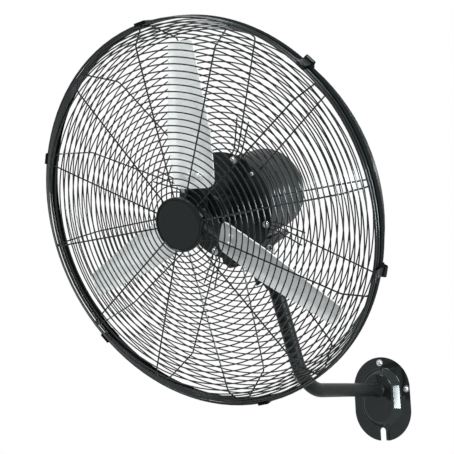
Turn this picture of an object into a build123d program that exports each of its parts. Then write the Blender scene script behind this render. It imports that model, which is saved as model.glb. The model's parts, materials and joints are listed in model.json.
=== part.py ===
from build123d import *
import os
from math import atan, cos, hypot, pi, radians, sin, tan

# Industrial wall fan: a pressed wall plate carries a bent tube.  Two cheeks on the tube's end hold
# a cross barrel, and the head tilts on it: motor, mounting plate, rear and front guard, and blades.
# Millimetres, +Z up.  The origin lies on the wall, midway between the two side wall holes, where
# the axis of the arm meets the wall.  The fan looks out along -Y and is tilted down.

os.makedirs("parts", exist_ok=True)

# ---------------------------------------------------------------- wall plate
plate_width = 163.0
plate_height = 220.0
plate_centre_drop = 24.0        # the plate hangs lower than the arm axis
plate_sheet = 2.5
wall_hole_spacing = 144.0       # the two side holes, level with the arm
wall_hole_d = 9.0
top_hole_rise = 71.0
dome_width = 116.0
dome_height = 158.0
dome_centre_drop = 21.0
dome_depth = 25.0
dome_flank = 18.0               # width of the sloping flank all round
foot_width = 4.0                # soft foot and shoulder of the flank
foot_depth = 4.0
slot_width = 16.0               # cable and screw slot at the lower edge
slot_length = 27.0
channel_width = 30.0            # raised channel that the slot is cut in
channel_depth = 7.0
end_steps = 14                  # straights in each round end of the plate and the dome

# ---------------------------------------------------------------- arm
tube_od = 33.7
tube_wall = 2.6
tube_fit = 0.1                  # gap round the tube in the dome
arm_reach = 391.0               # wall to the point where the two straights would meet
arm_rise = 299.0                # from that point to the end of the tube
arm_angle = 64.7                # of the upper straight, above the level
arm_bend_radius = 120.0
tube_inset = 6.0                # how far the tube goes into the dome
tube_sides = 24                 # flats round the modelled pipe
bend_steps = 6                  # mitres in the modelled bend
collar_width = 3.4              # weld bead round the tube on the dome
collar_length = 5.0

# ---------------------------------------------------------------- yoke and pivot
pivot_height = 54.7             # above the end of the tube
pivot_forward = 42.4            # ahead of the tube axis
pivot_d = 10.0
pivot_fit = 0.1                 # running gap round the pivot screw
cheek_sheet = 4.0               # plates welded to both sides of the tube
cheek_front = 41.4              # front edge, ahead of the tube axis
cheek_drop = 22.6               # lower edge, below the end of the tube
cheek_tail = 48.0               # the tail reaches this far down the tube
cheek_tail_width = 10.0
cheek_ear_radius = 15.0
barrel_od = 22.0
side_gap = 0.4                  # between the barrel's ends and the cradle
screw_head_width = 17.0
screw_head_height = 8.0
washer_od = 24.0
washer_thick = 2.0
head_tilt = 22.4                # how far the fan looks down at rest
pivot_below_axis = 121.0
pivot_behind_rim = 174.0

# ---------------------------------------------------------------- tilt knob
knob_d = 56.0
knob_width = 22.0
knob_hub_d = 24.0
knob_hub_length = 9.0
knob_lobes = 6
knob_notch_d = 14.0
knob_gap = 0.3
knob_grip = 20.0                # how far the screw goes into the knob

# ---------------------------------------------------------------- guards
rim_radius = 400.0
rim_wire = 5.0
ring_wire = 2.8
spoke_wire = 3.2
weld_gap = 0.05                 # between a ring and the spoke that it is welded to
spoke_count = 12
spoke_start = 44.0              # the front spokes end under the cap
ring_sides = 24                 # a thin ring has this many straights, two between spokes
rim_sides = 36
front_rim_z = -12.0             # places along the fan axis, backwards from the rim plane
front_face_z = -54.0            # innermost ring of the front face
front_bend_z = -47.0            # outermost ring of the front face
front_first_ring = 66.0
front_skirt_width = 40.0        # from the bend out to the rim
front_ring_margin = 6.0         # last ring of the face, inside the bend
front_rings = 23
front_skirt_rings = 5
front_skirt_start = 0.6         # place of the first skirt ring, in ring steps from the bend
rear_rim_z = -1.0
rear_face_z = 122.0
rear_bend_z = 100.0
rear_first_ring = 122.0
rear_skirt_width = 31.0
rear_ring_margin = 10.0
rear_rings = 19
rear_skirt_rings = 6
rear_skirt_start = 0.7
band_front_z = 5.0
band_width = 15.0
band_depth = 4.5
band_sheet = 1.2
stay_turn = 4.2                 # short stays stand this many degrees beside a mounting spoke
stay_end = 195.0
stay_first_angle = 30.0
stay_step = 6.0                 # a stay steps down to the mounting plate over this length

# ---------------------------------------------------------------- rim clips and latches
clip_angles = (0.0, 172.0, 235.0, 299.0)        # clockwise from the top, seen from the front
latch_angles = (54.0, 113.0)
clip_sheet = 2.0
clip_width = 24.0
clip_lip = 5.5
clip_gap = 0.3
latch_pin_d = 4.0
latch_pin_fit = 0.05
latch_pin_rise = 6.5            # pin centre above the clip
lever_width = 17.0
lever_length = 47.0
lever_sheet = 2.0
lever_hook = 9.0
latch_ear_gap = 0.3             # between the lever and the ears beside it
latch_ear_radius = 3.6

# ---------------------------------------------------------------- front cap
cap_radius = 55.8
cap_front_z = -60.0
cap_sheet = 1.5
cap_rim_width = 3.5
cap_rim_height = 1.6
cap_sides = 48                  # straights in the modelled edge
cap_seat_radius = 50.0          # washer plate behind the spokes
cap_seat_sheet = 2.0
cap_stud_d = 8.0

# ---------------------------------------------------------------- mounting plate and cradle
mount_z = 107.0
mount_sheet = 3.0
mount_radius = 118.0
tab_width = 80.0
tab_reach = 126.0               # below the fan axis
clamp_radius = 107.0
clamp_length = 17.0
clamp_width = 22.0
clamp_sheet = 3.0
cradle_sheet = 4.0
cradle_width = 80.0             # over the side flanges
cradle_back = 98.0              # behind the pivot line
cradle_back_depth = 11.0        # depth of the flanges at the back
cradle_ear_radius = 14.0
ring_notch = 11.0               # room for the rear guard's first ring
cradle_ear_reach = 22.0         # the ears' feet, to both sides of the pivot line
lip_gap = 0.5                   # between the cradle and the drum above it

# ---------------------------------------------------------------- motor
motor_radius = 96.5
motor_length = 190.0
motor_wall = 4.5
motor_split = 96.0              # length of the front bell
motor_step = 2.0                # the rear bell is this much smaller
motor_bevel = 9.0
nose_radius = 32.0
nose_tip_radius = 25.0
nose_length = 40.0
nose_hole_gap = 1.0
nose_bore_gap = 4.0             # round the shaft where it leaves the nose
bearing_od = 42.0
bearing_width = 14.0
rear_bearing_z = 262.0
bearing_seat_wall = 5.0
vent_count = 12
vent_width = 7.0
vent_height = 24.0
vent_radius = 66.0
stator_length = 52.0
stator_start_z = 181.0
air_gap = 0.6
core_radius = 50.0
winding_length = 16.0
winding_outer = 78.0
winding_inner = 56.0
capacitor_length = 38.0
capacitor_width = 24.0
capacitor_depth = 17.0
capacitor_bevel = 4.0
capacitor_radius = 62.0
gland_z = 272.0
gland_angle = 222.0             # clockwise from the top, seen from the front
gland_d = 20.0
gland_nut_radius = 12.0
gland_length = 15.0
gland_nut_length = 6.0          # six-sided foot on the motor
gland_taper = 12.0

# ---------------------------------------------------------------- rotor
shaft_d = 18.0
shaft_front_z = -4.0
shaft_fit = 0.03                # running gap in the bearings
press_fit = 0.01
hub_radius = 55.0
hub_sheet = 4.0
hub_disc_z = 24.0
hub_boss_radius = 21.0
hub_boss_front = 10.0           # boss ahead of the disc
hub_boss_back = 20.0            # and behind it
shaft_nut_width = 27.0
shaft_nut_height = 12.0
blade_count = 3
blade_first_angle = 11.5
blade_mid_z = 8.0
blade_root = 60.0
blade_tip = 355.0
blade_shoulder = 175.0          # widest point, where the taper starts
blade_root_width = 78.0
blade_width = 84.0
blade_tip_width = 49.0
blade_root_corner = 18.0
blade_tip_corner = 7.0
blade_sheet = 1.8
blade_trim = 4.5                # the pressed sheet is this much larger before its outline is cut
blade_fold = 6.0                # depth of the pressed centre panel
blade_strip = 15.0              # width of the folded strip along each edge
blade_root_pitch = 21.0
blade_tip_pitch = 13.0
pad_radius = 108.0              # how far the hub's arms reach under the blades
pad_width = 46.0
pad_sheet = 3.0
pad_sink = 4.0                  # how far an arm is sunk in the boss

# ---------------------------------------------------------------- worked out
tube_radius = tube_od / 2
arm_dir = Vector(0, -cos(radians(arm_angle)), sin(radians(arm_angle)))
arm_corner = Vector(0, -arm_reach, 0)
arm_top = arm_corner + arm_dir * arm_rise
mast = Plane(origin=arm_top, x_dir=(1, 0, 0), z_dir=arm_dir)     # its y points back to the wall
pivot = arm_top + arm_dir * pivot_height - mast.y_dir * pivot_forward

back = Vector(0, cos(radians(head_tilt)), sin(radians(head_tilt)))
rise = Vector(0, -sin(radians(head_tilt)), cos(radians(head_tilt)))
rim_centre = pivot + rise * pivot_below_axis - back * pivot_behind_rim
fan = Plane(origin=rim_centre, x_dir=(1, 0, 0), z_dir=back)      # its y points down
fan_axis = Axis(rim_centre, back)

plate_back_z = mount_z + mount_sheet
motor_end_z = plate_back_z + motor_length
split_z = plate_back_z + motor_split
front_bend_radius = rim_radius - front_skirt_width
front_last_ring = front_bend_radius - front_ring_margin
rear_bend_radius = rim_radius - rear_skirt_width
rear_last_ring = rear_bend_radius - rear_ring_margin
rear_radius = motor_radius - motor_step
stator_radius = rear_radius - motor_wall


def spoke_dir(angle):
    """Direction from the fan axis, clockwise from the top as seen from the front."""
    return Vector(1, 0, 0) * sin(radians(angle)) + rise * cos(radians(angle))


def side_plane(angle):
    """Plane through the fan axis: x is the radius, y runs backwards along the axis."""
    out = spoke_dir(angle)
    return Plane(origin=rim_centre, x_dir=out, z_dir=out.cross(back))


def tangent_point(angle, radius, z):
    return rim_centre + spoke_dir(angle) * radius + back * z


def polygon_ring(radius, z, wire, sides):
    """One welded ring: a square wire bent to a many-sided ring, its middle at z."""
    with BuildSketch(fan.offset(z - wire / 2)) as ring:
        RegularPolygon(radius + wire / 2, sides)
        RegularPolygon(radius - wire / 2, sides, mode=Mode.SUBTRACT)
    return extrude(ring.sketch, amount=wire, mode=Mode.PRIVATE)


def wire_span(points, wire, angle):
    """A square wire laid in a plane through the fan axis, along points of radius and z."""
    with BuildSketch(side_plane(angle)) as span:
        with BuildLine() as path:
            Polyline(*points)
        trace(path.line, line_width=wire)
    return extrude(span.sketch, amount=wire / 2, both=True, mode=Mode.PRIVATE)


def meeting_point(start_1, slope_1, start_2, slope_2):
    """Where two lines meet, each through a point of radius and z at a slope of z over radius."""
    radius = start_2[1] - start_1[1] + slope_1 * start_1[0] - slope_2 * start_2[0]
    radius /= slope_1 - slope_2
    return radius, start_1[1] + slope_1 * (radius - start_1[0])


def ring_to_spoke(slope):
    """Distance from a ring's middle to the middle line of the spoke that it lies on."""
    turn = abs(atan(slope))
    corner_dip = spoke_wire / 2 * tan(pi / ring_sides) * sin(turn)
    return spoke_wire / 2 + ring_wire / 2 * (cos(turn) + sin(turn)) + corner_dip + weld_gap


def stadium(width, height, drop):
    """Upright slot shape, its round ends made of short straights."""
    straight = (height - width) / 2
    points = []
    for index in range(end_steps + 1):
        turn = pi * index / end_steps
        points.append((width / 2 * cos(turn), straight - drop + width / 2 * sin(turn)))
    for index in range(end_steps + 1):
        turn = pi * index / end_steps
        points.append((-width / 2 * cos(turn), -straight - drop - width / 2 * sin(turn)))
    Polygon(*points, align=None)


# ================================================================ wall plate and arm
dome_top_width = dome_width - 2 * dome_flank
dome_top_height = dome_height - 2 * dome_flank

with BuildPart() as wall_plate:
    with BuildSketch(Plane.XZ):
        stadium(plate_width, plate_height, plate_centre_drop)
    extrude(amount=plate_sheet)
    # the dome, with a soft foot and a soft shoulder
    with BuildSketch(Plane.XZ):
        stadium(dome_width, dome_height, dome_centre_drop)
    with BuildSketch(Plane.XZ.offset(foot_depth + plate_sheet)):
        stadium(dome_width - 2 * foot_width, dome_height - 2 * foot_width, dome_centre_drop)
    with BuildSketch(Plane.XZ.offset(dome_depth - foot_depth)):
        stadium(dome_top_width + 2 * foot_width, dome_top_height + 2 * foot_width, dome_centre_drop)
    with BuildSketch(Plane.XZ.offset(dome_depth)):
        stadium(dome_top_width, dome_top_height, dome_centre_drop)
    loft(ruled=True)
    # the raised channel to the lower edge
    channel_top = dome_centre_drop + dome_height / 2 - dome_flank
    channel_end = plate_centre_drop + plate_height / 2
    with BuildSketch(Plane.XZ):
        with Locations((0, -(channel_top + channel_end) / 2)):
            Rectangle(channel_width, channel_end - channel_top)
    extrude(amount=channel_depth)
    with BuildSketch(Plane.XZ):
        stadium(plate_width, plate_height, plate_centre_drop)
    extrude(amount=dome_depth, mode=Mode.INTERSECT)
    # hollow inside
    with BuildSketch(Plane.XZ):
        stadium(dome_width - 2 * plate_sheet, dome_height - 2 * plate_sheet, dome_centre_drop)
    with BuildSketch(Plane.XZ.offset(dome_depth - plate_sheet)):
        stadium(dome_top_width - plate_sheet, dome_top_height - plate_sheet, dome_centre_drop)
    loft(ruled=True, mode=Mode.SUBTRACT)
    with BuildSketch(Plane.XZ):
        with Locations((0, -(channel_top + channel_end) / 2)):
            Rectangle(channel_width - 2 * plate_sheet, channel_end - channel_top + 1)
    extrude(amount=channel_depth - plate_sheet, mode=Mode.SUBTRACT)
    # the tube's hole, the wall holes and the slot
    with BuildSketch(Plane.XZ):
        RegularPolygon(tube_radius + tube_fit, tube_sides)
    extrude(amount=dome_depth + 1, mode=Mode.SUBTRACT)
    with BuildSketch(Plane.XZ):
        with GridLocations(wall_hole_spacing, 0, 2, 1):
            Circle(wall_hole_d / 2)
        with Locations((0, top_hole_rise)):
            Circle(wall_hole_d / 2)
        with Locations((0, -channel_end + slot_length / 2)):
            SlotOverall(slot_length + slot_width, slot_width, rotation=90)
    extrude(amount=channel_depth + 1, mode=Mode.SUBTRACT)
wall_plate.part.label = "wall_plate"
export_step(wall_plate.part, "parts/wall_plate.step")

bend_cut = arm_bend_radius * tan(radians(arm_angle / 2))
bend_centre = arm_corner + Vector(0, bend_cut, arm_bend_radius)
arm_points = [Vector(0, tube_inset - dome_depth, 0)]
for index in range(bend_steps + 1):
    turn = radians(arm_angle * index / bend_steps)
    arm_points.append(bend_centre + Vector(0, -sin(turn), -cos(turn)) * arm_bend_radius)
arm_points.append(arm_top)

with BuildPart() as arm_tube:
    with BuildLine() as arm_path:
        Polyline(*arm_points)
    with BuildSketch(Plane.XZ.offset(dome_depth - tube_inset)):
        RegularPolygon(tube_radius, tube_sides)
        RegularPolygon(tube_radius - tube_wall, tube_sides, mode=Mode.SUBTRACT)
    sweep(path=arm_path.line, transition=Transition.RIGHT)
    # the weld bead round the tube, on the dome
    with BuildSketch(Plane.XZ.offset(dome_depth + weld_gap)):
        RegularPolygon(tube_radius + collar_width, tube_sides)
    with BuildSketch(Plane.XZ.offset(dome_depth + weld_gap + collar_length)):
        RegularPolygon(tube_radius + collar_width / 3, tube_sides)
    loft(ruled=True)
    with BuildSketch(Plane.XZ.offset(dome_depth)):
        RegularPolygon(tube_radius - tube_wall, tube_sides)
    extrude(amount=2 * collar_length, mode=Mode.SUBTRACT)
arm_tube.part.label = "arm_tube"
export_step(arm_tube.part, "parts/arm_tube.step")

# ================================================================ yoke: two cheeks and a barrel
cheek_inside = tube_radius + weld_gap
cheek_plane = Plane(origin=arm_top + Vector(cheek_inside, 0, 0), x_dir=mast.y_dir, z_dir=(1, 0, 0))
tail_half = cheek_tail_width / 2

with BuildPart() as yoke_cheeks:
    with BuildSketch(cheek_plane):
        with Locations((-pivot_forward, pivot_height)):
            Circle(cheek_ear_radius)
        Polygon(
            (-cheek_front, cheek_drop),
            (tube_radius, 0),
            (tube_radius, -cheek_drop / 2),
            (-cheek_front, 0),
            align=None,
        )
        make_hull()
        Polygon(
            (-cheek_front, 0),
            (-cheek_front, -cheek_drop),
            (-tube_radius, -cheek_drop),
            (-tail_half, -cheek_tail),
            (tail_half, -cheek_tail),
            (tube_radius, -cheek_drop),
            (tube_radius, 0),
            align=None,
        )
        with Locations((-pivot_forward, pivot_height)):
            Circle(barrel_od / 2 + weld_gap, mode=Mode.SUBTRACT)
    extrude(amount=cheek_sheet)
    mirror(about=Plane.YZ)
yoke_cheeks.part.label = "yoke_cheeks"
export_step(yoke_cheeks.part, "parts/yoke_cheeks.step")

right_out = Plane(origin=pivot, x_dir=(0, 1, 0), z_dir=(1, 0, 0))
left_out = Plane(origin=pivot, x_dir=(0, 1, 0), z_dir=(-1, 0, 0))
flange_outside = cradle_width / 2
flange_inside = flange_outside - cradle_sheet
barrel_end = flange_inside - side_gap

with BuildPart() as pivot_barrel:
    with BuildSketch(right_out.offset(-barrel_end)):
        Circle(barrel_od / 2)
        Circle(pivot_d / 2 + pivot_fit, mode=Mode.SUBTRACT)
    extrude(amount=2 * barrel_end)
pivot_barrel.part.label = "pivot_barrel"
export_step(pivot_barrel.part, "parts/pivot_barrel.step")

# ================================================================ pivot screw, put in from the right
screw_reach = flange_outside + knob_gap + knob_grip
with BuildPart() as pivot_screw:
    with BuildSketch(left_out.offset(-flange_outside - weld_gap)):
        Circle(pivot_d / 2)
    extrude(amount=flange_outside + weld_gap + screw_reach)
    with BuildSketch(right_out.offset(flange_outside + weld_gap)):
        RegularPolygon(washer_od / 2, 24)
    extrude(amount=washer_thick)
    with BuildSketch(right_out.offset(flange_outside + weld_gap + washer_thick)):
        RegularPolygon(screw_head_width / 2, 6, major_radius=False)
    extrude(amount=screw_head_height)
pivot_screw.part.label = "pivot_screw"
export_step(pivot_screw.part, "parts/pivot_screw.step")

# ================================================================ tilt knob, on the screw's left end
with BuildPart() as tilt_knob:
    with BuildSketch(left_out.offset(flange_outside + knob_gap)):
        RegularPolygon(knob_hub_d / 2, 24)
    extrude(amount=knob_hub_length)
    with BuildSketch(left_out.offset(flange_outside + knob_gap + knob_hub_length)):
        RegularPolygon(knob_d / 2, 4 * knob_lobes)
        with PolarLocations(knob_d / 2 + knob_notch_d / 4, knob_lobes):
            RegularPolygon(knob_notch_d / 2, 12, mode=Mode.SUBTRACT)
    extrude(amount=knob_width)
    with BuildSketch(left_out.offset(flange_outside)):
        Circle(pivot_d / 2 + pivot_fit)
    extrude(amount=2 * knob_gap + knob_grip, mode=Mode.SUBTRACT)
tilt_knob.part.label = "tilt_knob"
export_step(tilt_knob.part, "parts/tilt_knob.step")

# ================================================================ mounting plate and cradle
with BuildPart() as mount_plate:
    with BuildSketch(fan.offset(mount_z)):
        Circle(mount_radius)
        with Locations((0, tab_reach / 2)):
            Rectangle(tab_width, tab_reach)
        Circle(nose_radius + nose_hole_gap, mode=Mode.SUBTRACT)
    extrude(amount=mount_sheet)
mount_plate.part.label = "mount_plate"
export_step(mount_plate.part, "parts/mount_plate.step")

strap_top = motor_radius + lip_gap          # below the fan axis
cradle_end = pivot_behind_rim + cradle_back
flange_plane = Plane(origin=rim_centre + Vector(flange_outside, 0, 0), x_dir=back, z_dir=(-1, 0, 0))
with BuildPart() as cradle:
    strap_plane = Plane(origin=tangent_point(180, strap_top, 0), x_dir=(-1, 0, 0), z_dir=-rise)
    with BuildSketch(strap_plane):
        with Locations((0, (plate_back_z + cradle_end) / 2)):
            Rectangle(cradle_width, cradle_end - plate_back_z)
    extrude(amount=cradle_sheet)
    with BuildSketch(fan.offset(plate_back_z)):
        with Locations((0, (strap_top + tab_reach) / 2)):
            Rectangle(tab_width, tab_reach - strap_top)
    extrude(amount=cradle_sheet)
    # the ears round the pivot line, then the tapered side flanges; y points down in this plane
    with BuildSketch(flange_plane):
        with Locations((pivot_behind_rim, pivot_below_axis)):
            Circle(cradle_ear_radius)
        with Locations((pivot_behind_rim, strap_top + cradle_sheet / 2)):
            Rectangle(2 * cradle_ear_reach, cradle_sheet)
        make_hull()
        Polygon(
            (plate_back_z, strap_top),
            (plate_back_z, rear_first_ring - ring_notch),
            (rear_face_z + ring_notch, rear_first_ring - ring_notch),
            (rear_face_z + 2 * ring_notch, tab_reach - cradle_sheet),
            (cradle_end, strap_top + cradle_back_depth),
            (cradle_end, strap_top),
            align=None,
        )
        with Locations((pivot_behind_rim, pivot_below_axis)):
            Circle(pivot_d / 2 + pivot_fit, mode=Mode.SUBTRACT)
    extrude(amount=cradle_sheet)
    mirror(about=Plane.YZ)
cradle.part.label = "cradle"
export_step(cradle.part, "parts/cradle.step")

# ================================================================ motor
with BuildPart() as motor_front_bell:
    nose_tip_z = mount_z - nose_length
    bore = shaft_d / 2 + nose_bore_gap
    with BuildSketch(side_plane(90)):
        with BuildLine():
            Polyline(
                (bore, nose_tip_z),
                (nose_tip_radius, nose_tip_z),
                (nose_radius, plate_back_z),
                (motor_radius, plate_back_z),
                (motor_radius, split_z),
                (motor_radius - motor_wall, split_z),
                (motor_radius - motor_wall, plate_back_z + motor_wall),
                (bearing_od / 2 + press_fit, plate_back_z + motor_wall),
                (bearing_od / 2 + press_fit, nose_tip_z + motor_wall),
                (bore, nose_tip_z + motor_wall),
                close=True,
            )
        make_face()
    revolve(axis=fan_axis)
motor_front_bell.part.label = "motor_front_bell"
export_step(motor_front_bell.part, "parts/motor_front_bell.step")

with BuildPart() as motor_rear_bell:
    seat_outer = bearing_od / 2 + bearing_seat_wall
    with BuildSketch(side_plane(90)):
        with BuildLine():
            Polyline(
                (0, motor_end_z),
                (rear_radius - motor_bevel, motor_end_z),
                (rear_radius, motor_end_z - motor_bevel),
                (rear_radius, split_z),
                (stator_radius, split_z),
                (stator_radius, motor_end_z - motor_wall - motor_bevel),
                (stator_radius - motor_bevel, motor_end_z - motor_wall),
                (seat_outer, motor_end_z - motor_wall),
                (seat_outer, rear_bearing_z),
                (bearing_od / 2 + press_fit, rear_bearing_z),
                (bearing_od / 2 + press_fit, motor_end_z - motor_wall),
                (0, motor_end_z - motor_wall),
                close=True,
            )
        make_face()
    revolve(axis=fan_axis)
    # cooling slots in the back
    with BuildSketch(fan.offset(motor_end_z - motor_wall - 1)):
        with PolarLocations(vent_radius, vent_count, start_angle=180 / vent_count):
            Rectangle(vent_height, vent_width)
    extrude(amount=motor_wall + 2, mode=Mode.SUBTRACT)
motor_rear_bell.part.label = "motor_rear_bell"
export_step(motor_rear_bell.part, "parts/motor_rear_bell.step")

with BuildPart() as stator_core:
    with BuildSketch(fan.offset(stator_start_z)):
        RegularPolygon(stator_radius, 8)
        Circle(core_radius + air_gap, mode=Mode.SUBTRACT)
    extrude(amount=stator_length)
stator_core.part.label = "stator_core"
export_step(stator_core.part, "parts/stator_core.step")

with BuildPart() as windings:
    for start in (stator_start_z - winding_length, stator_start_z + stator_length):
        with BuildSketch(fan.offset(start)):
            RegularPolygon(winding_outer, 24)
            RegularPolygon(winding_inner, 24, mode=Mode.SUBTRACT)
        extrude(amount=winding_length)
windings.part.label = "windings"
export_step(windings.part, "parts/windings.step")

front_bearing_z = nose_tip_z + motor_wall
with BuildPart() as bearings:
    for start in (front_bearing_z, rear_bearing_z):
        with BuildSketch(fan.offset(start)):
            Circle(bearing_od / 2)
            Circle(shaft_d / 2 + shaft_fit, mode=Mode.SUBTRACT)
        extrude(amount=bearing_width)
bearings.part.label = "bearings"
export_step(bearings.part, "parts/bearings.step")

with BuildPart() as capacitor:
    capacitor_z = motor_end_z - motor_wall - capacitor_depth
    with BuildSketch(fan.offset(capacitor_z)):
        with Locations((0, -capacitor_radius)):
            Rectangle(capacitor_length, capacitor_width)
    extrude(amount=capacitor_depth)
    chamfer(capacitor.edges().filter_by(Axis(rim_centre, back)), length=capacitor_bevel)
capacitor.part.label = "capacitor"
export_step(capacitor.part, "parts/capacitor.step")

with BuildPart() as cable_gland:
    gland_base = tangent_point(gland_angle, rear_radius, gland_z)
    gland_out = Plane(origin=gland_base, x_dir=back, z_dir=spoke_dir(gland_angle))
    with BuildSketch(gland_out):
        RegularPolygon(gland_nut_radius, 6)
    extrude(amount=gland_nut_length)
    with BuildSketch(gland_out.offset(gland_nut_length)):
        RegularPolygon(gland_d / 2, 12)
    extrude(amount=gland_length - gland_nut_length, taper=gland_taper)
cable_gland.part.label = "cable_gland"
export_step(cable_gland.part, "parts/cable_gland.step")

# ================================================================ rotor
with BuildPart() as shaft:
    shaft_back_z = rear_bearing_z + bearing_width
    with BuildSketch(fan.offset(shaft_front_z)):
        Circle(shaft_d / 2)
    extrude(amount=shaft_back_z - shaft_front_z)
shaft.part.label = "shaft"
export_step(shaft.part, "parts/shaft.step")

with BuildPart() as rotor_core:
    with BuildSketch(fan.offset(stator_start_z)):
        Circle(core_radius)
        Circle(shaft_d / 2 + press_fit, mode=Mode.SUBTRACT)
    extrude(amount=stator_length)
rotor_core.part.label = "rotor_core"
export_step(rotor_core.part, "parts/rotor_core.step")


def blade_plane(angle, radius, pitch):
    """Cross-section of a blade: x runs to the clockwise edge, y to the back."""
    out = spoke_dir(angle)
    round_dir = back.cross(out)
    chord = round_dir * cos(radians(pitch)) + back * sin(radians(pitch))
    origin = rim_centre + out * radius + back * blade_mid_z
    return Plane(origin=origin, x_dir=chord, z_dir=out)


def folded_section(plane, width):
    """Pressed sheet: a flat centre panel set back, and a folded strip along each edge."""
    edge = width / 2
    crease = edge - blade_strip
    with BuildSketch(plane) as section:
        with BuildLine():
            Polyline(
                (-edge, -blade_fold),
                (-crease, 0),
                (crease, 0),
                (edge, -blade_fold),
                (edge, -blade_fold + blade_sheet),
                (crease, blade_sheet),
                (-crease, blade_sheet),
                (-edge, -blade_fold + blade_sheet),
                close=True,
            )
        make_face()
    return section.sketch


# past the pads the sections turn from the root's pitch to the tip's
blade_stations = (
    (blade_root - blade_trim, blade_root_pitch, blade_width),
    (pad_radius + blade_trim, blade_root_pitch, blade_width),
    (blade_tip + blade_trim, blade_tip_pitch, blade_tip_width),
)
blades = []
for index in range(blade_count):
    blade_angle = blade_first_angle + index * 360 / blade_count
    with BuildPart() as blade:
        sections = []
        for radius, pitch, width in blade_stations:
            section_width = (width + blade_trim) / cos(radians(pitch))
            sections.append(folded_section(blade_plane(blade_angle, radius, pitch), section_width))
        loft(sections, ruled=True)
        # the outline, seen along the axis
        out = spoke_dir(blade_angle)
        outline = Plane(origin=rim_centre + back * blade_mid_z, x_dir=out, z_dir=back)
        with BuildSketch(outline):
            with BuildLine():
                Polyline(
                    (blade_root, -blade_root_width / 2),
                    (blade_shoulder, -blade_width / 2),
                    (blade_tip, -blade_tip_width / 2),
                    (blade_tip, blade_tip_width / 2),
                    (blade_shoulder, blade_width / 2),
                    (blade_root, blade_root_width / 2),
                    close=True,
                )
            make_face()
            fillet(vertices().sort_by(Axis.X)[:2], radius=blade_root_corner)
            fillet(vertices().sort_by(Axis.X)[-2:], radius=blade_tip_corner)
        extrude(amount=blade_width, both=True, mode=Mode.INTERSECT)
    blade.part.label = "blade_%d" % (index + 1)
    export_step(blade.part, "parts/blade_%d.step" % (index + 1))
    blades.append(blade)

with BuildPart() as hub:
    with BuildSketch(fan.offset(hub_disc_z)):
        Circle(hub_radius)
    extrude(amount=hub_sheet)
    with BuildSketch(fan.offset(hub_disc_z - hub_boss_front)):
        Circle(hub_boss_radius)
    extrude(amount=hub_boss_front + hub_boss_back)
    for index in range(blade_count):
        blade_angle = blade_first_angle + index * 360 / blade_count
        pad_plane = blade_plane(blade_angle, hub_boss_radius - pad_sink, blade_root_pitch)
        with BuildSketch(pad_plane):
            with Locations((0, blade_sheet + pad_sheet / 2)):
                Rectangle(pad_width, pad_sheet)
        extrude(amount=pad_radius - hub_boss_radius + pad_sink)
    with BuildSketch(fan.offset(hub_disc_z - 2 * hub_boss_back)):
        Circle(shaft_d / 2 + press_fit)
    extrude(amount=4 * hub_boss_back, mode=Mode.SUBTRACT)
hub.part.label = "hub"
export_step(hub.part, "parts/hub.step")

with BuildPart() as shaft_nut:
    with BuildSketch(fan.offset(hub_disc_z - hub_boss_front - shaft_nut_height)):
        RegularPolygon(shaft_nut_width / 2, 6, major_radius=False)
        Circle(shaft_d / 2 + press_fit, mode=Mode.SUBTRACT)
    extrude(amount=shaft_nut_height)
shaft_nut.part.label = "shaft_nut"
export_step(shaft_nut.part, "parts/shaft_nut.step")

# ================================================================ front guard
front_pitch = (front_last_ring - front_first_ring) / (front_rings - 1)
front_slope = (front_bend_z - front_face_z) / (front_last_ring - front_first_ring)
front_skirt_slope = (front_rim_z - front_bend_z) / (rim_radius - front_bend_radius)
skirt_run = rim_radius - front_bend_radius
rim_dip = spoke_wire / 2 * tan(pi / rim_sides)      # a rim's corner dips this much beside a spoke
inner_line = rim_radius - rim_wire / 2 - rim_dip - spoke_wire / 2 - weld_gap   # spokes inside the rims


def spoke_shift(slope):
    """The spoke's middle line lies this far along the axis from the line of the rings."""
    return ring_to_spoke(slope) * hypot(1, slope)


face_radii = [front_first_ring + index * front_pitch for index in range(front_rings)]
with BuildPart() as front_guard_face:
    rings = []
    for radius in face_radii:
        ring_z = front_face_z + front_slope * (radius - front_first_ring)
        rings.append(polygon_ring(radius, ring_z, ring_wire, ring_sides))
    add(rings)
front_guard_face.part.label = "front_guard_face"
export_step(front_guard_face.part, "parts/front_guard_face.step")

skirt_rise = front_rim_z - front_bend_z
with BuildPart() as front_guard_skirt:
    rings = []
    for index in range(front_skirt_rings):
        share = (index + front_skirt_start) / (front_skirt_rings + 1)
        radius = front_bend_radius + skirt_run * share
        rings.append(polygon_ring(radius, front_bend_z + skirt_rise * share, ring_wire, ring_sides))
    add(rings)
    add(polygon_ring(rim_radius, front_rim_z, rim_wire, rim_sides))
front_guard_skirt.part.label = "front_guard_skirt"
export_step(front_guard_skirt.part, "parts/front_guard_skirt.step")

with BuildPart() as front_guard_spokes:
    face_start = (front_first_ring, front_face_z + spoke_shift(front_slope))
    skirt_start = (front_bend_radius, front_bend_z + spoke_shift(front_skirt_slope))
    bend = meeting_point(face_start, front_slope, skirt_start, front_skirt_slope)
    knee_z = skirt_start[1] + front_skirt_slope * (inner_line - front_bend_radius)
    spoke_start_z = face_start[1] + front_slope * (spoke_start - front_first_ring)
    front_path = (
        (spoke_start, spoke_start_z),
        bend,
        (inner_line, knee_z),
        (inner_line, knee_z + rim_wire),
    )
    add([wire_span(front_path, spoke_wire, index * 360 / spoke_count) for index in range(spoke_count)])
front_guard_spokes.part.label = "front_guard_spokes"
export_step(front_guard_spokes.part, "parts/front_guard_spokes.step")

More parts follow.
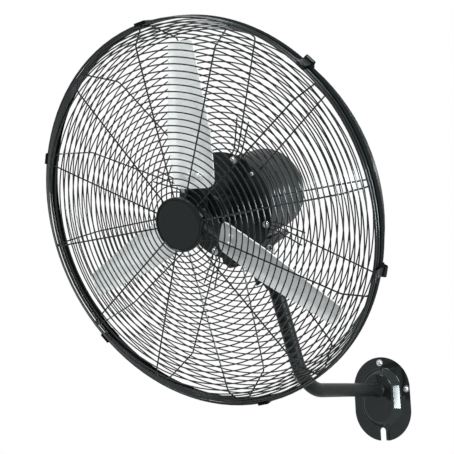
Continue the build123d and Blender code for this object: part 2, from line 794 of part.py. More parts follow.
# ================================================================ front cap
spoke_front_z = spoke_start_z - spoke_wire / 2
spoke_back_z = face_start[1] + spoke_wire / 2
cap_back_z = spoke_front_z - weld_gap
with BuildPart() as front_cap:
    with BuildSketch(fan.offset(cap_front_z - cap_rim_height)):
        RegularPolygon(cap_radius, cap_sides)
        RegularPolygon(cap_radius - cap_rim_width, cap_sides, mode=Mode.SUBTRACT)
    extrude(amount=cap_back_z - cap_front_z + cap_rim_height)
    with BuildSketch(fan.offset(cap_front_z)):
        RegularPolygon(cap_radius - cap_rim_width / 2, cap_sides)
    extrude(amount=cap_sheet)
    with BuildSketch(fan.offset(cap_front_z + cap_sheet)):
        Circle(cap_stud_d / 2)
    extrude(amount=spoke_back_z + cap_seat_sheet + cap_stud_d / 2 - cap_front_z - cap_sheet)
front_cap.part.label = "front_cap"
export_step(front_cap.part, "parts/front_cap.step")

with BuildPart() as cap_seat:
    with BuildSketch(fan.offset(spoke_back_z + weld_gap)):
        RegularPolygon(cap_seat_radius, cap_sides)
        Circle(cap_stud_d / 2 + press_fit, mode=Mode.SUBTRACT)
    extrude(amount=cap_seat_sheet)
cap_seat.part.label = "cap_seat"
export_step(cap_seat.part, "parts/cap_seat.step")

# ================================================================ rear guard
rear_pitch = (rear_last_ring - rear_first_ring) / (rear_rings - 1)
rear_slope = (rear_bend_z - rear_face_z) / (rear_bend_radius - rear_first_ring)
band_back_z = band_front_z + band_width
rear_skirt_slope = (band_back_z - rear_bend_z) / (rim_radius - rear_bend_radius)

face_radii = [rear_first_ring + index * rear_pitch for index in range(rear_rings)]
with BuildPart() as rear_guard_face:
    rings = []
    for radius in face_radii:
        ring_z = rear_face_z + rear_slope * (radius - rear_first_ring)
        rings.append(polygon_ring(radius, ring_z, ring_wire, ring_sides))
    add(rings)
rear_guard_face.part.label = "rear_guard_face"
export_step(rear_guard_face.part, "parts/rear_guard_face.step")

skirt_run = rim_radius - rear_bend_radius
skirt_rise = band_back_z - rear_bend_z
with BuildPart() as rear_guard_skirt:
    rings = []
    for index in range(rear_skirt_rings):
        share = (index + rear_skirt_start) / (rear_skirt_rings + 1)
        radius = rear_bend_radius + skirt_run * share
        rings.append(polygon_ring(radius, rear_bend_z + skirt_rise * share, ring_wire, ring_sides))
    add(rings)
    add(polygon_ring(rim_radius, rear_rim_z, rim_wire, rim_sides))
rear_guard_skirt.part.label = "rear_guard_skirt"
export_step(rear_guard_skirt.part, "parts/rear_guard_skirt.step")

face_start = (rear_first_ring, rear_face_z - spoke_shift(rear_slope))
skirt_start = (rear_bend_radius, rear_bend_z - spoke_shift(rear_skirt_slope))
bend = meeting_point(face_start, rear_slope, skirt_start, rear_skirt_slope)
knee_z = skirt_start[1] + rear_skirt_slope * (inner_line - rear_bend_radius)
foot_z = plate_back_z + spoke_wire / 2 + weld_gap
foot_end = mount_radius
step_end = rear_first_ring + stay_step


def rear_face_point(radius):
    return radius, face_start[1] + rear_slope * (radius - rear_first_ring)


rear_outer = (bend, (inner_line, knee_z), (inner_line, rear_rim_z - rim_wire / 2))
mount_foot = ((clamp_radius - clamp_length / 2, foot_z), (foot_end, foot_z), rear_face_point(step_end))

plain_start = (rear_face_point(rear_first_ring - ring_wire),)
spoke_angles = [index * 360 / spoke_count for index in range(spoke_count)]
mounting_spokes = [angle for angle in spoke_angles if (angle - stay_first_angle) % 90 == 0]
plain_spokes = [angle for angle in spoke_angles if angle not in mounting_spokes]
with BuildPart() as rear_guard_spokes:
    add([wire_span(mount_foot + rear_outer, spoke_wire, angle) for angle in mounting_spokes])
    add([wire_span(plain_start + rear_outer, spoke_wire, angle) for angle in plain_spokes])
rear_guard_spokes.part.label = "rear_guard_spokes"
export_step(rear_guard_spokes.part, "parts/rear_guard_spokes.step")

# a stay crosses the rings between their corners, where they lie a little further in
stay_sink = -rear_slope * stay_end * (1 - cos(pi / ring_sides))
stay_tip = (stay_end, rear_face_point(stay_end)[1] - stay_sink)
stays = [
    wire_span(mount_foot + (stay_tip,), spoke_wire, stay_first_angle + index * 90 + turn)
    for index in range(4)
    for turn in (-stay_turn, stay_turn)
]
with BuildPart() as rear_guard_stays:
    add(stays)
rear_guard_stays.part.label = "rear_guard_stays"
export_step(rear_guard_stays.part, "parts/rear_guard_stays.step")

with BuildPart() as guard_clamps:
    with BuildSketch(fan.offset(foot_z + spoke_wire / 2 + weld_gap)):
        with PolarLocations(clamp_radius, 4, start_angle=stay_first_angle - 90):
            Rectangle(clamp_length, clamp_width)
    extrude(amount=clamp_sheet)
guard_clamps.part.label = "guard_clamps"
export_step(guard_clamps.part, "parts/guard_clamps.step")

# ================================================================ rim band
band_inner = inner_line + spoke_wire / 2 + rim_dip + weld_gap
band_outer = band_inner + band_depth + band_sheet
with BuildPart() as rim_band:
    with BuildSketch(fan.offset(band_front_z)):
        RegularPolygon(band_outer, rim_sides)
        RegularPolygon(band_outer - band_sheet, rim_sides, mode=Mode.SUBTRACT)
    extrude(amount=band_width)
    for start in (band_front_z, band_back_z - band_sheet):
        with BuildSketch(fan.offset(start)):
            RegularPolygon(band_outer, rim_sides)
            RegularPolygon(band_inner, rim_sides, mode=Mode.SUBTRACT)
        extrude(amount=band_sheet)
rim_band.part.label = "rim_band"
export_step(rim_band.part, "parts/rim_band.step")

# ================================================================ clips round the rim
clip_inner = band_outer + clip_gap
clip_outer = clip_inner + clip_sheet
lip_radius = clip_inner - clip_lip
clip_back_z = band_back_z + clip_gap + clip_sheet
clip_front_z = front_rim_z - rim_wire / 2 - clip_gap - clip_sheet
latch_front_z = band_front_z - clip_gap - clip_sheet


def clip_body(angle, front_z):
    """A bent strip over the rim, with a lip down each side."""
    with BuildSketch(side_plane(angle)) as profile:
        with BuildLine():
            Polyline(
                (lip_radius, front_z),
                (clip_outer, front_z),
                (clip_outer, clip_back_z),
                (lip_radius, clip_back_z),
                (lip_radius, clip_back_z - clip_sheet),
                (clip_inner, clip_back_z - clip_sheet),
                (clip_inner, front_z + clip_sheet),
                (lip_radius, front_z + clip_sheet),
                close=True,
            )
        make_face()
    extrude(profile.sketch, amount=clip_width / 2, both=True)


with BuildPart() as rim_clips:
    for angle in clip_angles:
        clip_body(angle, clip_front_z)
rim_clips.part.label = "rim_clips"
export_step(rim_clips.part, "parts/rim_clips.step")

pin_radius = clip_outer + latch_pin_rise
pin_z = band_front_z + band_width / 2
ear_inside = lever_width / 2 + latch_ear_gap


def latch_ear(angle, side):
    """One ear of a latch, standing on the clip beside the lever."""
    with BuildSketch(side_plane(angle).offset(side * (ear_inside + clip_sheet / 2))) as ear:
        with Locations((pin_radius, pin_z)):
            Circle(latch_ear_radius)
        with Locations(((clip_outer + clip_inner) / 2, pin_z)):
            Rectangle(clip_sheet, band_width)
        make_hull()
    extrude(ear.sketch, amount=clip_sheet / 2, both=True)


def latch_pin(angle):
    with BuildSketch(side_plane(angle)) as pin:
        with Locations((pin_radius, pin_z)):
            Circle(latch_pin_d / 2)
    extrude(pin.sketch, amount=ear_inside + clip_sheet / 2, both=True)


with BuildPart() as latch_bases:
    for angle in latch_angles:
        clip_body(angle, latch_front_z)
        latch_ear(angle, 1)
        latch_ear(angle, -1)
        latch_pin(angle)
latch_bases.part.label = "latch_bases"
export_step(latch_bases.part, "parts/latch_bases.step")

hook_z = front_rim_z - rim_wire / 2 - clip_gap - lever_sheet / 2
plate_line = clip_outer + clip_gap + lever_sheet / 2
thumb_z = pin_z - lever_length


def lever_sketch(angle):
    """Side view: an eye on the pin, an arm forwards, a hook over the front wire, a thumb tab."""
    with BuildSketch(side_plane(angle)) as lever:
        with BuildLine() as arm:
            Polyline(
                (pin_radius, pin_z),
                (plate_line, latch_front_z - lever_sheet),
                (plate_line, hook_z),
                (rim_radius - rim_wire / 4, hook_z),
            )
        trace(arm.line, line_width=lever_sheet)
        with BuildLine() as thumb:
            Polyline(
                (plate_line, hook_z),
                (plate_line + lever_hook / 3, (hook_z + thumb_z) / 2),
                (plate_line + lever_hook, thumb_z),
            )
        trace(thumb.line, line_width=lever_sheet)
        with Locations((pin_radius, pin_z)):
            Circle(latch_pin_d / 2 + lever_sheet)
            Circle(latch_pin_d / 2 + latch_pin_fit, mode=Mode.SUBTRACT)
    return lever.sketch


for index, angle in enumerate(latch_angles):
    with BuildPart() as latch_lever:
        extrude(lever_sketch(angle), amount=lever_width / 2, both=True)
    latch_lever.part.label = "latch_lever_%d" % (index + 1)
    export_step(latch_lever.part, "parts/latch_lever_%d.step" % (index + 1))

print("pivot", pivot, "rim centre", rim_centre)
for angle in latch_angles:
    print("latch pin", tangent_point(angle, pin_radius, pin_z), side_plane(angle).z_dir)
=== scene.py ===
import json
from math import acos, atan2, cos, degrees, hypot, pi, radians, sin, tan

import bmesh
import bpy
from mathutils import Matrix, Vector


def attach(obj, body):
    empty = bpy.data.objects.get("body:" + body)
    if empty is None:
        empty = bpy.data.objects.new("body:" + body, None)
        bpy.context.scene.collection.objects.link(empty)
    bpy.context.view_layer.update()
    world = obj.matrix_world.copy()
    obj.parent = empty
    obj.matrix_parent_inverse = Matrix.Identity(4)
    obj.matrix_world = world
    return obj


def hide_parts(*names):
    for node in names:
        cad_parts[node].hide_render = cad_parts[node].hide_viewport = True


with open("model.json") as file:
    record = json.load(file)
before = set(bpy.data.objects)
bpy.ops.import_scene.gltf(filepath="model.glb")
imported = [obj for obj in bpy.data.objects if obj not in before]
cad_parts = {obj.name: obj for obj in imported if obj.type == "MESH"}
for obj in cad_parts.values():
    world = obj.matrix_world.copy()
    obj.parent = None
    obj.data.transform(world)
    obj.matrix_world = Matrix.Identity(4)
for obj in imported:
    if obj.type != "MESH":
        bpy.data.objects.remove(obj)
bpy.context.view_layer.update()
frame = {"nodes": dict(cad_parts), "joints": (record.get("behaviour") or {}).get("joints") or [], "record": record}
nodes = frame["nodes"]
print("frame loaded,", len(nodes), "nodes")


def move(x, y, z):
    return Matrix.Translation((x, y, z))


def rotate(angle, axis="Z"):
    return Matrix.Rotation(radians(angle), 4, axis)


def axes(x, y, z):
    # a turned space, from the directions of its three axes
    return Matrix((x, y, z)).transposed().to_4x4()


def between(low, high, share):
    return low + (high - low) * share


# the pieces are built in millimetres in one of these spaces, and set down in metres
joints = {joint["name"]: joint for joint in frame["joints"]}
backDir = Vector(joints["rotor_spin"]["axis"]).normalized()  # along the fan axis, towards the wall
sideDir = Vector((1, 0, 0))
mm = Matrix.Scale(0.001, 4)
# fan space: x to the right, y down across the fan, z backwards from the rim plane
fanSpace = move(*joints["rotor_spin"]["pos_m"]) @ axes(sideDir, backDir.cross(sideDir), backDir)
# wall space: x to the right, y up the wall, z out into the room
wallSpace = axes((1, 0, 0), (0, 0, 1), (0, -1, 0))
# pivot space: z along the pivot line to the right, y up
pivotSpace = move(*joints["head_tilt"]["pos_m"]) @ axes((0, 1, 0), (0, 0, 1), (1, 0, 0))


def newMaterial(name):
    material = bpy.data.materials.new(name)
    material.use_nodes = True
    return material, material.node_tree, material.node_tree.nodes["Principled BSDF"]


def setInputs(node, values):
    for key, value in values.items():
        node.inputs[key].default_value = value
    return node


def addNode(tree, kind, **values):
    return setInputs(tree.nodes.new(kind), values)


def objectNoise(tree, scale, detail=3.0, stretch=(1, 1, 1)):
    place = addNode(tree, "ShaderNodeTexCoord")
    spread = addNode(tree, "ShaderNodeMapping", Scale=stretch)
    noise = addNode(tree, "ShaderNodeTexNoise", Scale=scale, Detail=detail)
    tree.links.new(place.outputs["Object"], spread.inputs["Vector"])
    tree.links.new(spread.outputs["Vector"], noise.inputs["Vector"])
    return noise.outputs["Fac"]


def colourRange(tree, factor, dark, light, low=0.35, high=0.65):
    ramp = addNode(tree, "ShaderNodeValToRGB")
    for element, position, colour in zip(ramp.color_ramp.elements, (low, high), (dark, light)):
        element.position = position
        element.color = (*colour, 1)
    tree.links.new(factor, ramp.inputs["Fac"])
    return ramp.outputs["Color"]


def paintMaterial(name, dark, light, roughness, shine, grain, peel):
    # sprayed paint or moulded plastic: a slight change of tone and a faint orange peel
    material, tree, shader = newMaterial(name)
    coolWhite = (0.84, 0.97, 1.0, 1)
    noise = objectNoise(tree, grain)
    tree.links.new(colourRange(tree, noise, dark, light), shader.inputs["Base Color"])
    setInputs(shader, {"Roughness": roughness, "Specular IOR Level": shine, "Specular Tint": coolWhite})
    bump = addNode(tree, "ShaderNodeBump", Strength=peel, Distance=0.0004)
    tree.links.new(noise, bump.inputs["Height"])
    tree.links.new(bump.outputs["Normal"], shader.inputs["Normal"])
    return material


def metalMaterial(name, dark, light, roughness, grain, stretch, metal, shine):
    # bare or silver-painted metal: its tone and its roughness change together
    material, tree, shader = newMaterial(name)
    noise = objectNoise(tree, grain, 4.0, stretch)
    tree.links.new(colourRange(tree, noise, dark, light), shader.inputs["Base Color"])
    spread = addNode(tree, "ShaderNodeMapRange", **{
        "From Min": 0.3, "From Max": 0.7, "To Min": roughness * 0.85, "To Max": roughness * 1.2})
    tree.links.new(noise, spread.inputs["Value"])
    tree.links.new(spread.outputs["Result"], shader.inputs["Roughness"])
    setInputs(shader, {"Metallic": metal, "Specular IOR Level": shine})
    return material


# each has its dark and light tone, roughness, shine, fineness of grain and depth of the orange peel
paints = {
    "plateBlack": ((0.005, 0.006, 0.006), (0.008, 0.009, 0.009), 0.08, 0.34, 70, 0.02),
    "innerBlack": ((0.005, 0.006, 0.006), (0.008, 0.009, 0.010), 0.22, 0.22, 90, 0.04),
    "wireBlack": ((0.003, 0.004, 0.004), (0.005, 0.006, 0.006), 0.15, 0.34, 60, 0.04),
    "motorGrey": ((0.010, 0.012, 0.013), (0.014, 0.017, 0.018), 0.46, 0.16, 140, 0.08),
    "rimBlack": ((0.003, 0.004, 0.004), (0.005, 0.006, 0.006), 0.60, 0.02, 60, 0.04),
    "tubeBlack": ((0.005, 0.006, 0.006), (0.008, 0.009, 0.009), 0.38, 0.10, 80, 0.02),
    "capCharcoal": ((0.006, 0.007, 0.007), (0.008, 0.009, 0.009), 0.20, 0.20, 200, 0.02),
    "darkPlastic": ((0.014, 0.015, 0.016), (0.020, 0.022, 0.022), 0.50, 0.20, 180, 0.15),
}
# each has its dark and light tone, roughness, fineness and stretch of grain, share of metal and shine
metals = {
    "brightSteel": ((0.42, 0.44, 0.45), (0.62, 0.64, 0.65), 0.18, 80, (1, 1, 1), 1.0, 0.5),
    "zincBright": ((0.84, 0.86, 0.87), (0.94, 0.95, 0.96), 0.30, 80, (1, 1, 1), 1.0, 0.5),
    "bladeSilver": ((0.70, 0.73, 0.73), (0.78, 0.81, 0.81), 0.36, 14, (1, 1, 6), 0.08, 0.25),
    "coreSteel": ((0.30, 0.30, 0.31), (0.38, 0.38, 0.39), 0.4, 120, (1, 1, 12), 1.0, 0.5),
    "copper": ((0.55, 0.24, 0.10), (0.70, 0.34, 0.15), 0.3, 150, (1, 1, 1), 1.0, 0.5),
}
finishes = {name: paintMaterial(name, *look) for name, look in paints.items()}
finishes.update({name: metalMaterial(name, *look) for name, look in metals.items()})
slotFinish = {
    "black_steel": "innerBlack", "guard_black": "wireBlack", "motor_grey": "motorGrey",
    "blade_silver": "bladeSilver", "bright_steel": "brightSteel", "core_steel": "coreSteel",
    "copper": "copper", "dark_plastic": "darkPlastic", "cap_plastic": "capCharcoal",
}


def dress(piece, finish):
    piece.data.materials.clear()
    piece.data.materials.append(finishes[finish])


for part in frame["record"]["subparts"]:
    dress(nodes[part["node"]], slotFinish[part["material_slot"]])
print("materials on the frame")

sharpAngle = 35
weldReach = 0.002


def sharpen(data, angle):
    data.shade_smooth()
    data.set_sharp_from_angle(angle=radians(angle))


def addObject(name, data):
    added = bpy.data.objects.new(name, data)
    bpy.context.scene.collection.objects.link(added)
    return added


def buildData(build, name, space):
    # what a function builds in millimetres, closed and set in its space in metres
    mesh = bmesh.new()
    build(mesh)
    bmesh.ops.remove_doubles(mesh, verts=mesh.verts, dist=weldReach)
    bmesh.ops.recalc_face_normals(mesh, faces=mesh.faces)
    bmesh.ops.transform(mesh, matrix=space @ mm, verts=mesh.verts)
    data = bpy.data.meshes.new(name)
    mesh.to_mesh(data)
    mesh.free()
    return data


def finishPiece(build, name, space, body, slotName, standsFor=(), finish=None, angle=sharpAngle):
    # a piece that rides its body, in the finish of its slot or in its own
    data = buildData(build, name, space)
    sharpen(data, angle)
    piece = addObject(name, data)
    dress(piece, finish or slotFinish[slotName])
    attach(piece, body)
    if standsFor:
        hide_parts(*standsFor)
    return piece


def reshape(piece, operation, build, space):
    # joins a shape to a finished piece or cuts it away
    tool = addObject("tool", buildData(build, "tool", space))
    change = piece.modifiers.new("change", "BOOLEAN")
    change.object = tool
    change.operation = operation
    change.solver = "EXACT"
    change.use_self = True
    result = bpy.data.meshes.new_from_object(piece.evaluated_get(bpy.context.evaluated_depsgraph_get()))
    piece.modifiers.clear()
    piece.data = result
    sharpen(result, sharpAngle)
    bpy.data.objects.remove(tool)


def edgesOf(verts):
    inside = set(verts)
    return list({edge for vert in verts for edge in vert.link_edges if edge.other_vert(vert) in inside})


def vertsOf(items):
    return [item for item in items if isinstance(item, bmesh.types.BMVert)]


def joinInto(mesh, part):
    # adds a finished bmesh to another
    data = bpy.data.meshes.new("part")
    part.to_mesh(data)
    part.free()
    mesh.from_mesh(data)
    bpy.data.meshes.remove(data)


def spinRound(mesh, geom, steps):
    bmesh.ops.spin(mesh, geom=geom, cent=(0, 0, 0), axis=(0, 0, 1), angle=2 * pi, steps=steps, use_merge=True)


def addSpun(mesh, profile, steps, closed=True, matrix=Matrix()):
    # a profile of (radius, height) points turned once round the z axis
    turned = bmesh.new()
    verts = [turned.verts.new((radius, 0, height)) for radius, height in profile]
    edges = [turned.edges.new(pair) for pair in zip(verts, verts[1:])]
    if closed:
        edges.append(turned.edges.new((verts[-1], verts[0])))
    spinRound(turned, verts + edges, steps)
    bmesh.ops.transform(turned, matrix=matrix, verts=turned.verts)
    joinInto(mesh, turned)


def rodProfile(radius, low, high, ease, bore=0.0):
    # a round bar or a sleeve with eased rims
    return ((bore, low), (radius - ease, low), (radius, low + ease), (radius, high - ease),
            (radius - ease, high), (bore, high))


def addRing(mesh, radius, height, wire, sides=8):
    # a closed ring of round wire about the z axis
    ring = bmesh.new()
    section = bmesh.ops.create_circle(ring, segments=sides, radius=wire / 2,
                                      matrix=move(radius, 0, height) @ rotate(90, "X"))["verts"]
    spinRound(ring, section + edgesOf(section), guard["ringSteps"])
    joinInto(mesh, ring)


def roundedPath(points, radius, steps=5):
    # the corners of a path eased into short curves
    points = [Vector(point) for point in points]
    path = [points[0]]
    for before, corner, after in zip(points, points[1:], points[2:]):
        turn = (corner - before).angle(after - corner, 0)
        most = 0.45  # of the straight on either side
        reach = min(radius * tan(turn / 2), (corner - before).length * most, (after - corner).length * most)
        start = corner + (before - corner).normalized() * reach
        end = corner + (after - corner).normalized() * reach
        for step in range(steps + 1):
            share = step / steps
            path.append(start.lerp(corner, share).lerp(corner.lerp(end, share), share))
    path.append(points[-1])
    return path


def heading(path, index):
    return (path[min(index + 1, len(path) - 1)] - path[max(index - 1, 0)]).normalized()


def addWire(mesh, path, normal, wire, sides=8):
    # a round wire along a path that lies in the plane square to normal
    normal = Vector(normal).normalized()
    last = None
    for index, point in enumerate(path):
        ahead = heading(path, index)
        place = move(*point) @ axes(normal, ahead.cross(normal), ahead)
        section = bmesh.ops.create_circle(mesh, segments=sides, radius=wire / 2, matrix=place)["verts"]
        edges = edgesOf(section)
        if last:
            bmesh.ops.bridge_loops(mesh, edges=last + edges)
        else:
            bmesh.ops.edgeloop_fill(mesh, edges=edges)
        last = edges
    bmesh.ops.edgeloop_fill(mesh, edges=last)


def sidePoint(angle, radius, height):
    # a point in fan space: the angle runs clockwise from the top as seen from the front
    return Vector((radius * sin(radians(angle)), -radius * cos(radians(angle)), height))


def sideNormal(angle):
    return Vector((cos(radians(angle)), sin(radians(angle)), 0))


def sideMatrix(angle, radius=0.0, height=0.0):
    # x outwards, y backwards along the fan axis, z round the fan
    turn = axes(sidePoint(angle, 1, 0), (0, 0, 1), -sideNormal(angle))
    return move(*sidePoint(angle, radius, height)) @ turn


def frontMatrix(angle, radius, height, turn):
    # a place on the front of a disc across the fan, with z towards the room
    return move(*sidePoint(angle, radius, height)) @ rotate(180, "X") @ rotate(turn)


def arcPoints(centre, radius, start, end, steps=16):
    # points on a circle from one angle to another, in degrees
    angles = [radians(start + (end - start) * step / steps) for step in range(steps + 1)]
    return [(centre[0] + radius * cos(angle), centre[1] + radius * sin(angle)) for angle in angles]


def tangentAngle(centre, radius, point, side):
    # where a line from the point touches the circle, in degrees; side is 1 or -1
    across, up = point[0] - centre[0], point[1] - centre[1]
    return degrees(atan2(up, across) + side * acos(radius / hypot(across, up)))


def easeEdges(mesh, geom, width):
    bmesh.ops.bevel(mesh, geom=geom, offset=width, segments=2, affect="EDGES", profile=0.5, material=-1)


def addBlock(mesh, size, matrix, ease=0.0):
    # a box with eased edges
    block = bmesh.new()
    bmesh.ops.create_cube(block, size=1, matrix=Matrix.Diagonal((*size, 1)))
    if ease:
        easeEdges(block, block.verts[:] + block.edges[:], ease)
    bmesh.ops.transform(block, matrix=matrix, verts=block.verts)
    joinInto(mesh, block)


def addPlate(mesh, outline, thickness, matrix, ease=0.5):
    # a flat plate of that outline with eased rims, its middle in the plane of the matrix
    sheet = bmesh.new()
    face = sheet.faces.new([sheet.verts.new((x, y, -thickness / 2)) for x, y in outline])
    top = vertsOf(bmesh.ops.extrude_face_region(sheet, geom=[face])["geom"])
    bmesh.ops.translate(sheet, verts=top, vec=(0, 0, thickness))
    rims = [edge for edge in sheet.edges if edge.verts[0].co.z == edge.verts[1].co.z]
    if ease:
        easeEdges(sheet, rims, ease)
    bmesh.ops.transform(sheet, matrix=matrix, verts=sheet.verts)
    joinInto(mesh, sheet)


def addStrip(mesh, path, thickness, width, matrix, bend=1.6):
    # a strip of sheet bent along a path, its width square to the plane of the path
    points = roundedPath([(x, y, 0) for x, y in path], bend, 3)
    above, below = [], []
    for index, point in enumerate(points):
        ahead = heading(points, index)
        across = Vector((-ahead.y, ahead.x, 0)) * thickness / 2
        above.append((point + across).xy)
        below.append((point - across).xy)
    addPlate(mesh, above + below[::-1], width, matrix, 0.2)


def addBore(mesh, radius, matrix, steps):
    # a plug that cuts a round hole through a sheet
    bmesh.ops.create_cone(mesh, cap_ends=True, segments=steps, radius1=radius, radius2=radius, depth=20,
                          matrix=matrix)


def addHexagon(mesh, width, height, matrix, ease=0.6):
    # a hexagonal nut or head, its foot at the matrix and its top along z
    outline = arcPoints((0, 0), width / 2 / cos(pi / 6), 0, 300, 5)
    addPlate(mesh, outline, height, matrix @ move(0, 0, height / 2), ease)


washerThick = 1.6
# the dome of a round screw head in shares of its radius and height
headDome = ((1.0, 0.0), (1.0, 0.25), (0.95, 0.55), (0.82, 0.8), (0.55, 0.96), (0, 1.0))


def addScrew(mesh, screw, front, behind):
    # a round head and any washer with its foot at one place, any nut and end of the stud at the other
    radius, height, foot = screw["headRadius"], screw["headHeight"], 0.0
    if "washer" in screw:
        washer, foot = screw["washer"], washerThick
        addSpun(mesh, ((0, 0), (washer - 0.3, 0), (washer, 0.4), (washer, foot - 0.3), (washer - 0.3, foot),
                       (0, foot)), 32, False, front)
    dome = [(radius * share, foot + height * rise) for share, rise in headDome]
    addSpun(mesh, [(0, foot)] + dome, 32, False, front)
    if "nut" in screw:
        addHexagon(mesh, screw["nut"], screw["nutHeight"], behind)
    if "stud" in screw:
        stud, end = screw["stud"], screw["studEnd"]
        addSpun(mesh, ((0, 0), (stud, 0), (stud, end - 0.6), (stud - 0.5, end), (0, end)), 20, False, behind)


def addCross(mesh, screw, front):
    # the cross recess of a screw head
    radius, height = screw["headRadius"], screw["headHeight"]
    top = height + washerThick if "washer" in screw else height
    for turn in (0, 90):
        addBlock(mesh, (radius * 1.25, radius * 0.26, height), front @ rotate(turn) @ move(0, 0, top))


def finishScrews(name, space, body, screw, places, finish=None):
    # alike screws at pairs of places, in front and behind
    def addScrews(mesh):
        for front, behind in places:
            addScrew(mesh, screw, front, behind)

    def addCrosses(mesh):
        for pair in places:
            addCross(mesh, screw, pair[0])

    piece = finishPiece(addScrews, name, space, body, "bright_steel", (), finish)
    reshape(piece, "DIFFERENCE", addCrosses, space)


guard = {
    "rimRadius": 400.0, "rimWire": 5.0, "ringWire": 2.8, "spokeWire": 3.2, "spokes": 12, "bendRadius": 12.0,
    "weldGap": 0.05, "rimGap": 0.2, "ringSteps": 96,
}
frontGuard = {
    "rings": 23, "firstRing": 66.0, "lastRing": 354.0, "faceHeight": -54.0, "bendHeight": -47.0,
    "bendRadius": 360.0, "skirtRings": 5, "skirtStart": 0.6, "skirtSpan": 6.0, "rimHeight": -12.0,
    "spokeStart": 44.0, "inward": 1,
}
rearGuard = {
    "rings": 19, "firstRing": 122.0, "lastRing": 359.0, "faceHeight": 122.0, "bendHeight": 100.0,
    "bendRadius": 369.0, "skirtRings": 6, "skirtStart": 0.7, "skirtSpan": 7.0, "rimHeight": -1.0,
    "skirtEnd": 20.0, "plateBack": 110.0, "footStart": 98.5, "footEnd": 118.0, "stayTurn": 4.2,
    "stayEnd": 195.0, "stepLength": 6.0, "mountingSpokes": (30, 120, 210, 300), "inward": -1,
}
# the front face slopes as far as its last ring and its skirt ends at the rim wire
frontGuard["faceEnd"], frontGuard["skirtEnd"] = frontGuard["lastRing"], frontGuard["rimHeight"]
rearGuard["faceEnd"] = rearGuard["bendRadius"]  # the rear face slopes as far as its bend
ringToSpoke = guard["spokeWire"] / 2 + guard["ringWire"] / 2 + guard["weldGap"]
spokeOut = guard["rimRadius"] - guard["rimWire"] / 2 - guard["spokeWire"] / 2 - guard["rimGap"]


def faceSlope(values):
    return (values["bendHeight"] - values["faceHeight"]) / (values["faceEnd"] - values["firstRing"])


def skirtSlope(values):
    return (values["skirtEnd"] - values["bendHeight"]) / (guard["rimRadius"] - values["bendRadius"])


def addGuardFace(mesh, values):
    slope = faceSlope(values)
    pitch = (values["lastRing"] - values["firstRing"]) / (values["rings"] - 1)
    for index in range(values["rings"]):
        out = index * pitch
        addRing(mesh, values["firstRing"] + out, values["faceHeight"] + slope * out, guard["ringWire"])


def addGuardSkirt(mesh, values):
    for index in range(values["skirtRings"]):
        share = (index + values["skirtStart"]) / values["skirtSpan"]
        radius = between(values["bendRadius"], guard["rimRadius"], share)
        addRing(mesh, radius, between(values["bendHeight"], values["skirtEnd"], share), guard["ringWire"])
    addRing(mesh, guard["rimRadius"], values["rimHeight"], guard["rimWire"], 12)


def spokeGap(values, slope):
    # how far a spoke lies inside the rings, measured along the axis
    return values["inward"] * ringToSpoke * hypot(1, slope)


def spokeFace(values, radius):
    # a point of a spoke on the face
    slope = faceSlope(values)
    return radius, values["faceHeight"] + spokeGap(values, slope) + slope * (radius - values["firstRing"])


def spokeBends(values):
    # where a spoke turns from the face into the skirt, and its knee at the rim
    slope, skirt = faceSlope(values), skirtSlope(values)
    radiusA, heightA = spokeFace(values, values["firstRing"])
    radiusB, heightB = values["bendRadius"], values["bendHeight"] + spokeGap(values, skirt)
    radius = (heightB - heightA + slope * radiusA - skirt * radiusB) / (slope - skirt)
    return (radius, heightA + slope * (radius - radiusA)), (spokeOut, heightB + skirt * (spokeOut - radiusB))


def addSpoke(mesh, angle, outline, bend=guard["bendRadius"]):
    path = roundedPath([sidePoint(angle, *point) for point in outline], bend)
    addWire(mesh, path, sideNormal(angle), guard["spokeWire"])


def addFrontSpokes(mesh):
    corner, knee = spokeBends(frontGuard)
    start = spokeFace(frontGuard, frontGuard["spokeStart"])
    for index in range(guard["spokes"]):
        outline = (start, corner, knee, (spokeOut, knee[1] + guard["rimWire"]))
        addSpoke(mesh, index * 360 / guard["spokes"], outline)


def rearFoot():
    # the wire's end under its clamp on the mounting plate, and the step up to the face
    height = rearGuard["plateBack"] + guard["spokeWire"] / 2 + guard["weldGap"]
    return ((rearGuard["footStart"], height), (rearGuard["footEnd"], height),
            spokeFace(rearGuard, rearGuard["firstRing"] + rearGuard["stepLength"]))


def addRearSpokes(mesh):
    outer = (*spokeBends(rearGuard), (spokeOut, rearGuard["rimHeight"] - guard["rimWire"] / 2))
    start = spokeFace(rearGuard, rearGuard["firstRing"] - guard["ringWire"])
    for index in range(guard["spokes"]):
        angle = index * 360 // guard["spokes"]
        inner = rearFoot() if angle in rearGuard["mountingSpokes"] else (start,)
        addSpoke(mesh, angle, inner + outer)


def addRearStays(mesh):
    outline = (*rearFoot(), spokeFace(rearGuard, rearGuard["stayEnd"]))
    for middle in rearGuard["mountingSpokes"]:
        for side in (-1, 1):
            addSpoke(mesh, middle + side * rearGuard["stayTurn"], outline, guard["bendRadius"] / 2)


def finishWires(build, name, node, finish=None):
    finishPiece(build, name, fanSpace, "head", "guard_black", [node], finish)


for build, form in ((addGuardFace, "Face"), (addGuardSkirt, "Skirt")):
    for side, values in (("front", frontGuard), ("rear", rearGuard)):
        finishWires(lambda mesh: build(mesh, values), side + "Guard" + form, side + "_guard_" + form.lower())
finishWires(addFrontSpokes, "frontGuardSpokes", "front_guard_spokes")
finishWires(addRearSpokes, "rearGuardSpokes", "rear_guard_spokes")
finishWires(addRearStays, "rearGuardStays", "rear_guard_stays")

rimBand = {"inner": 397.6, "outer": 403.1, "front": 5.0, "width": 15.0, "sheet": 1.2, "ease": 0.8}


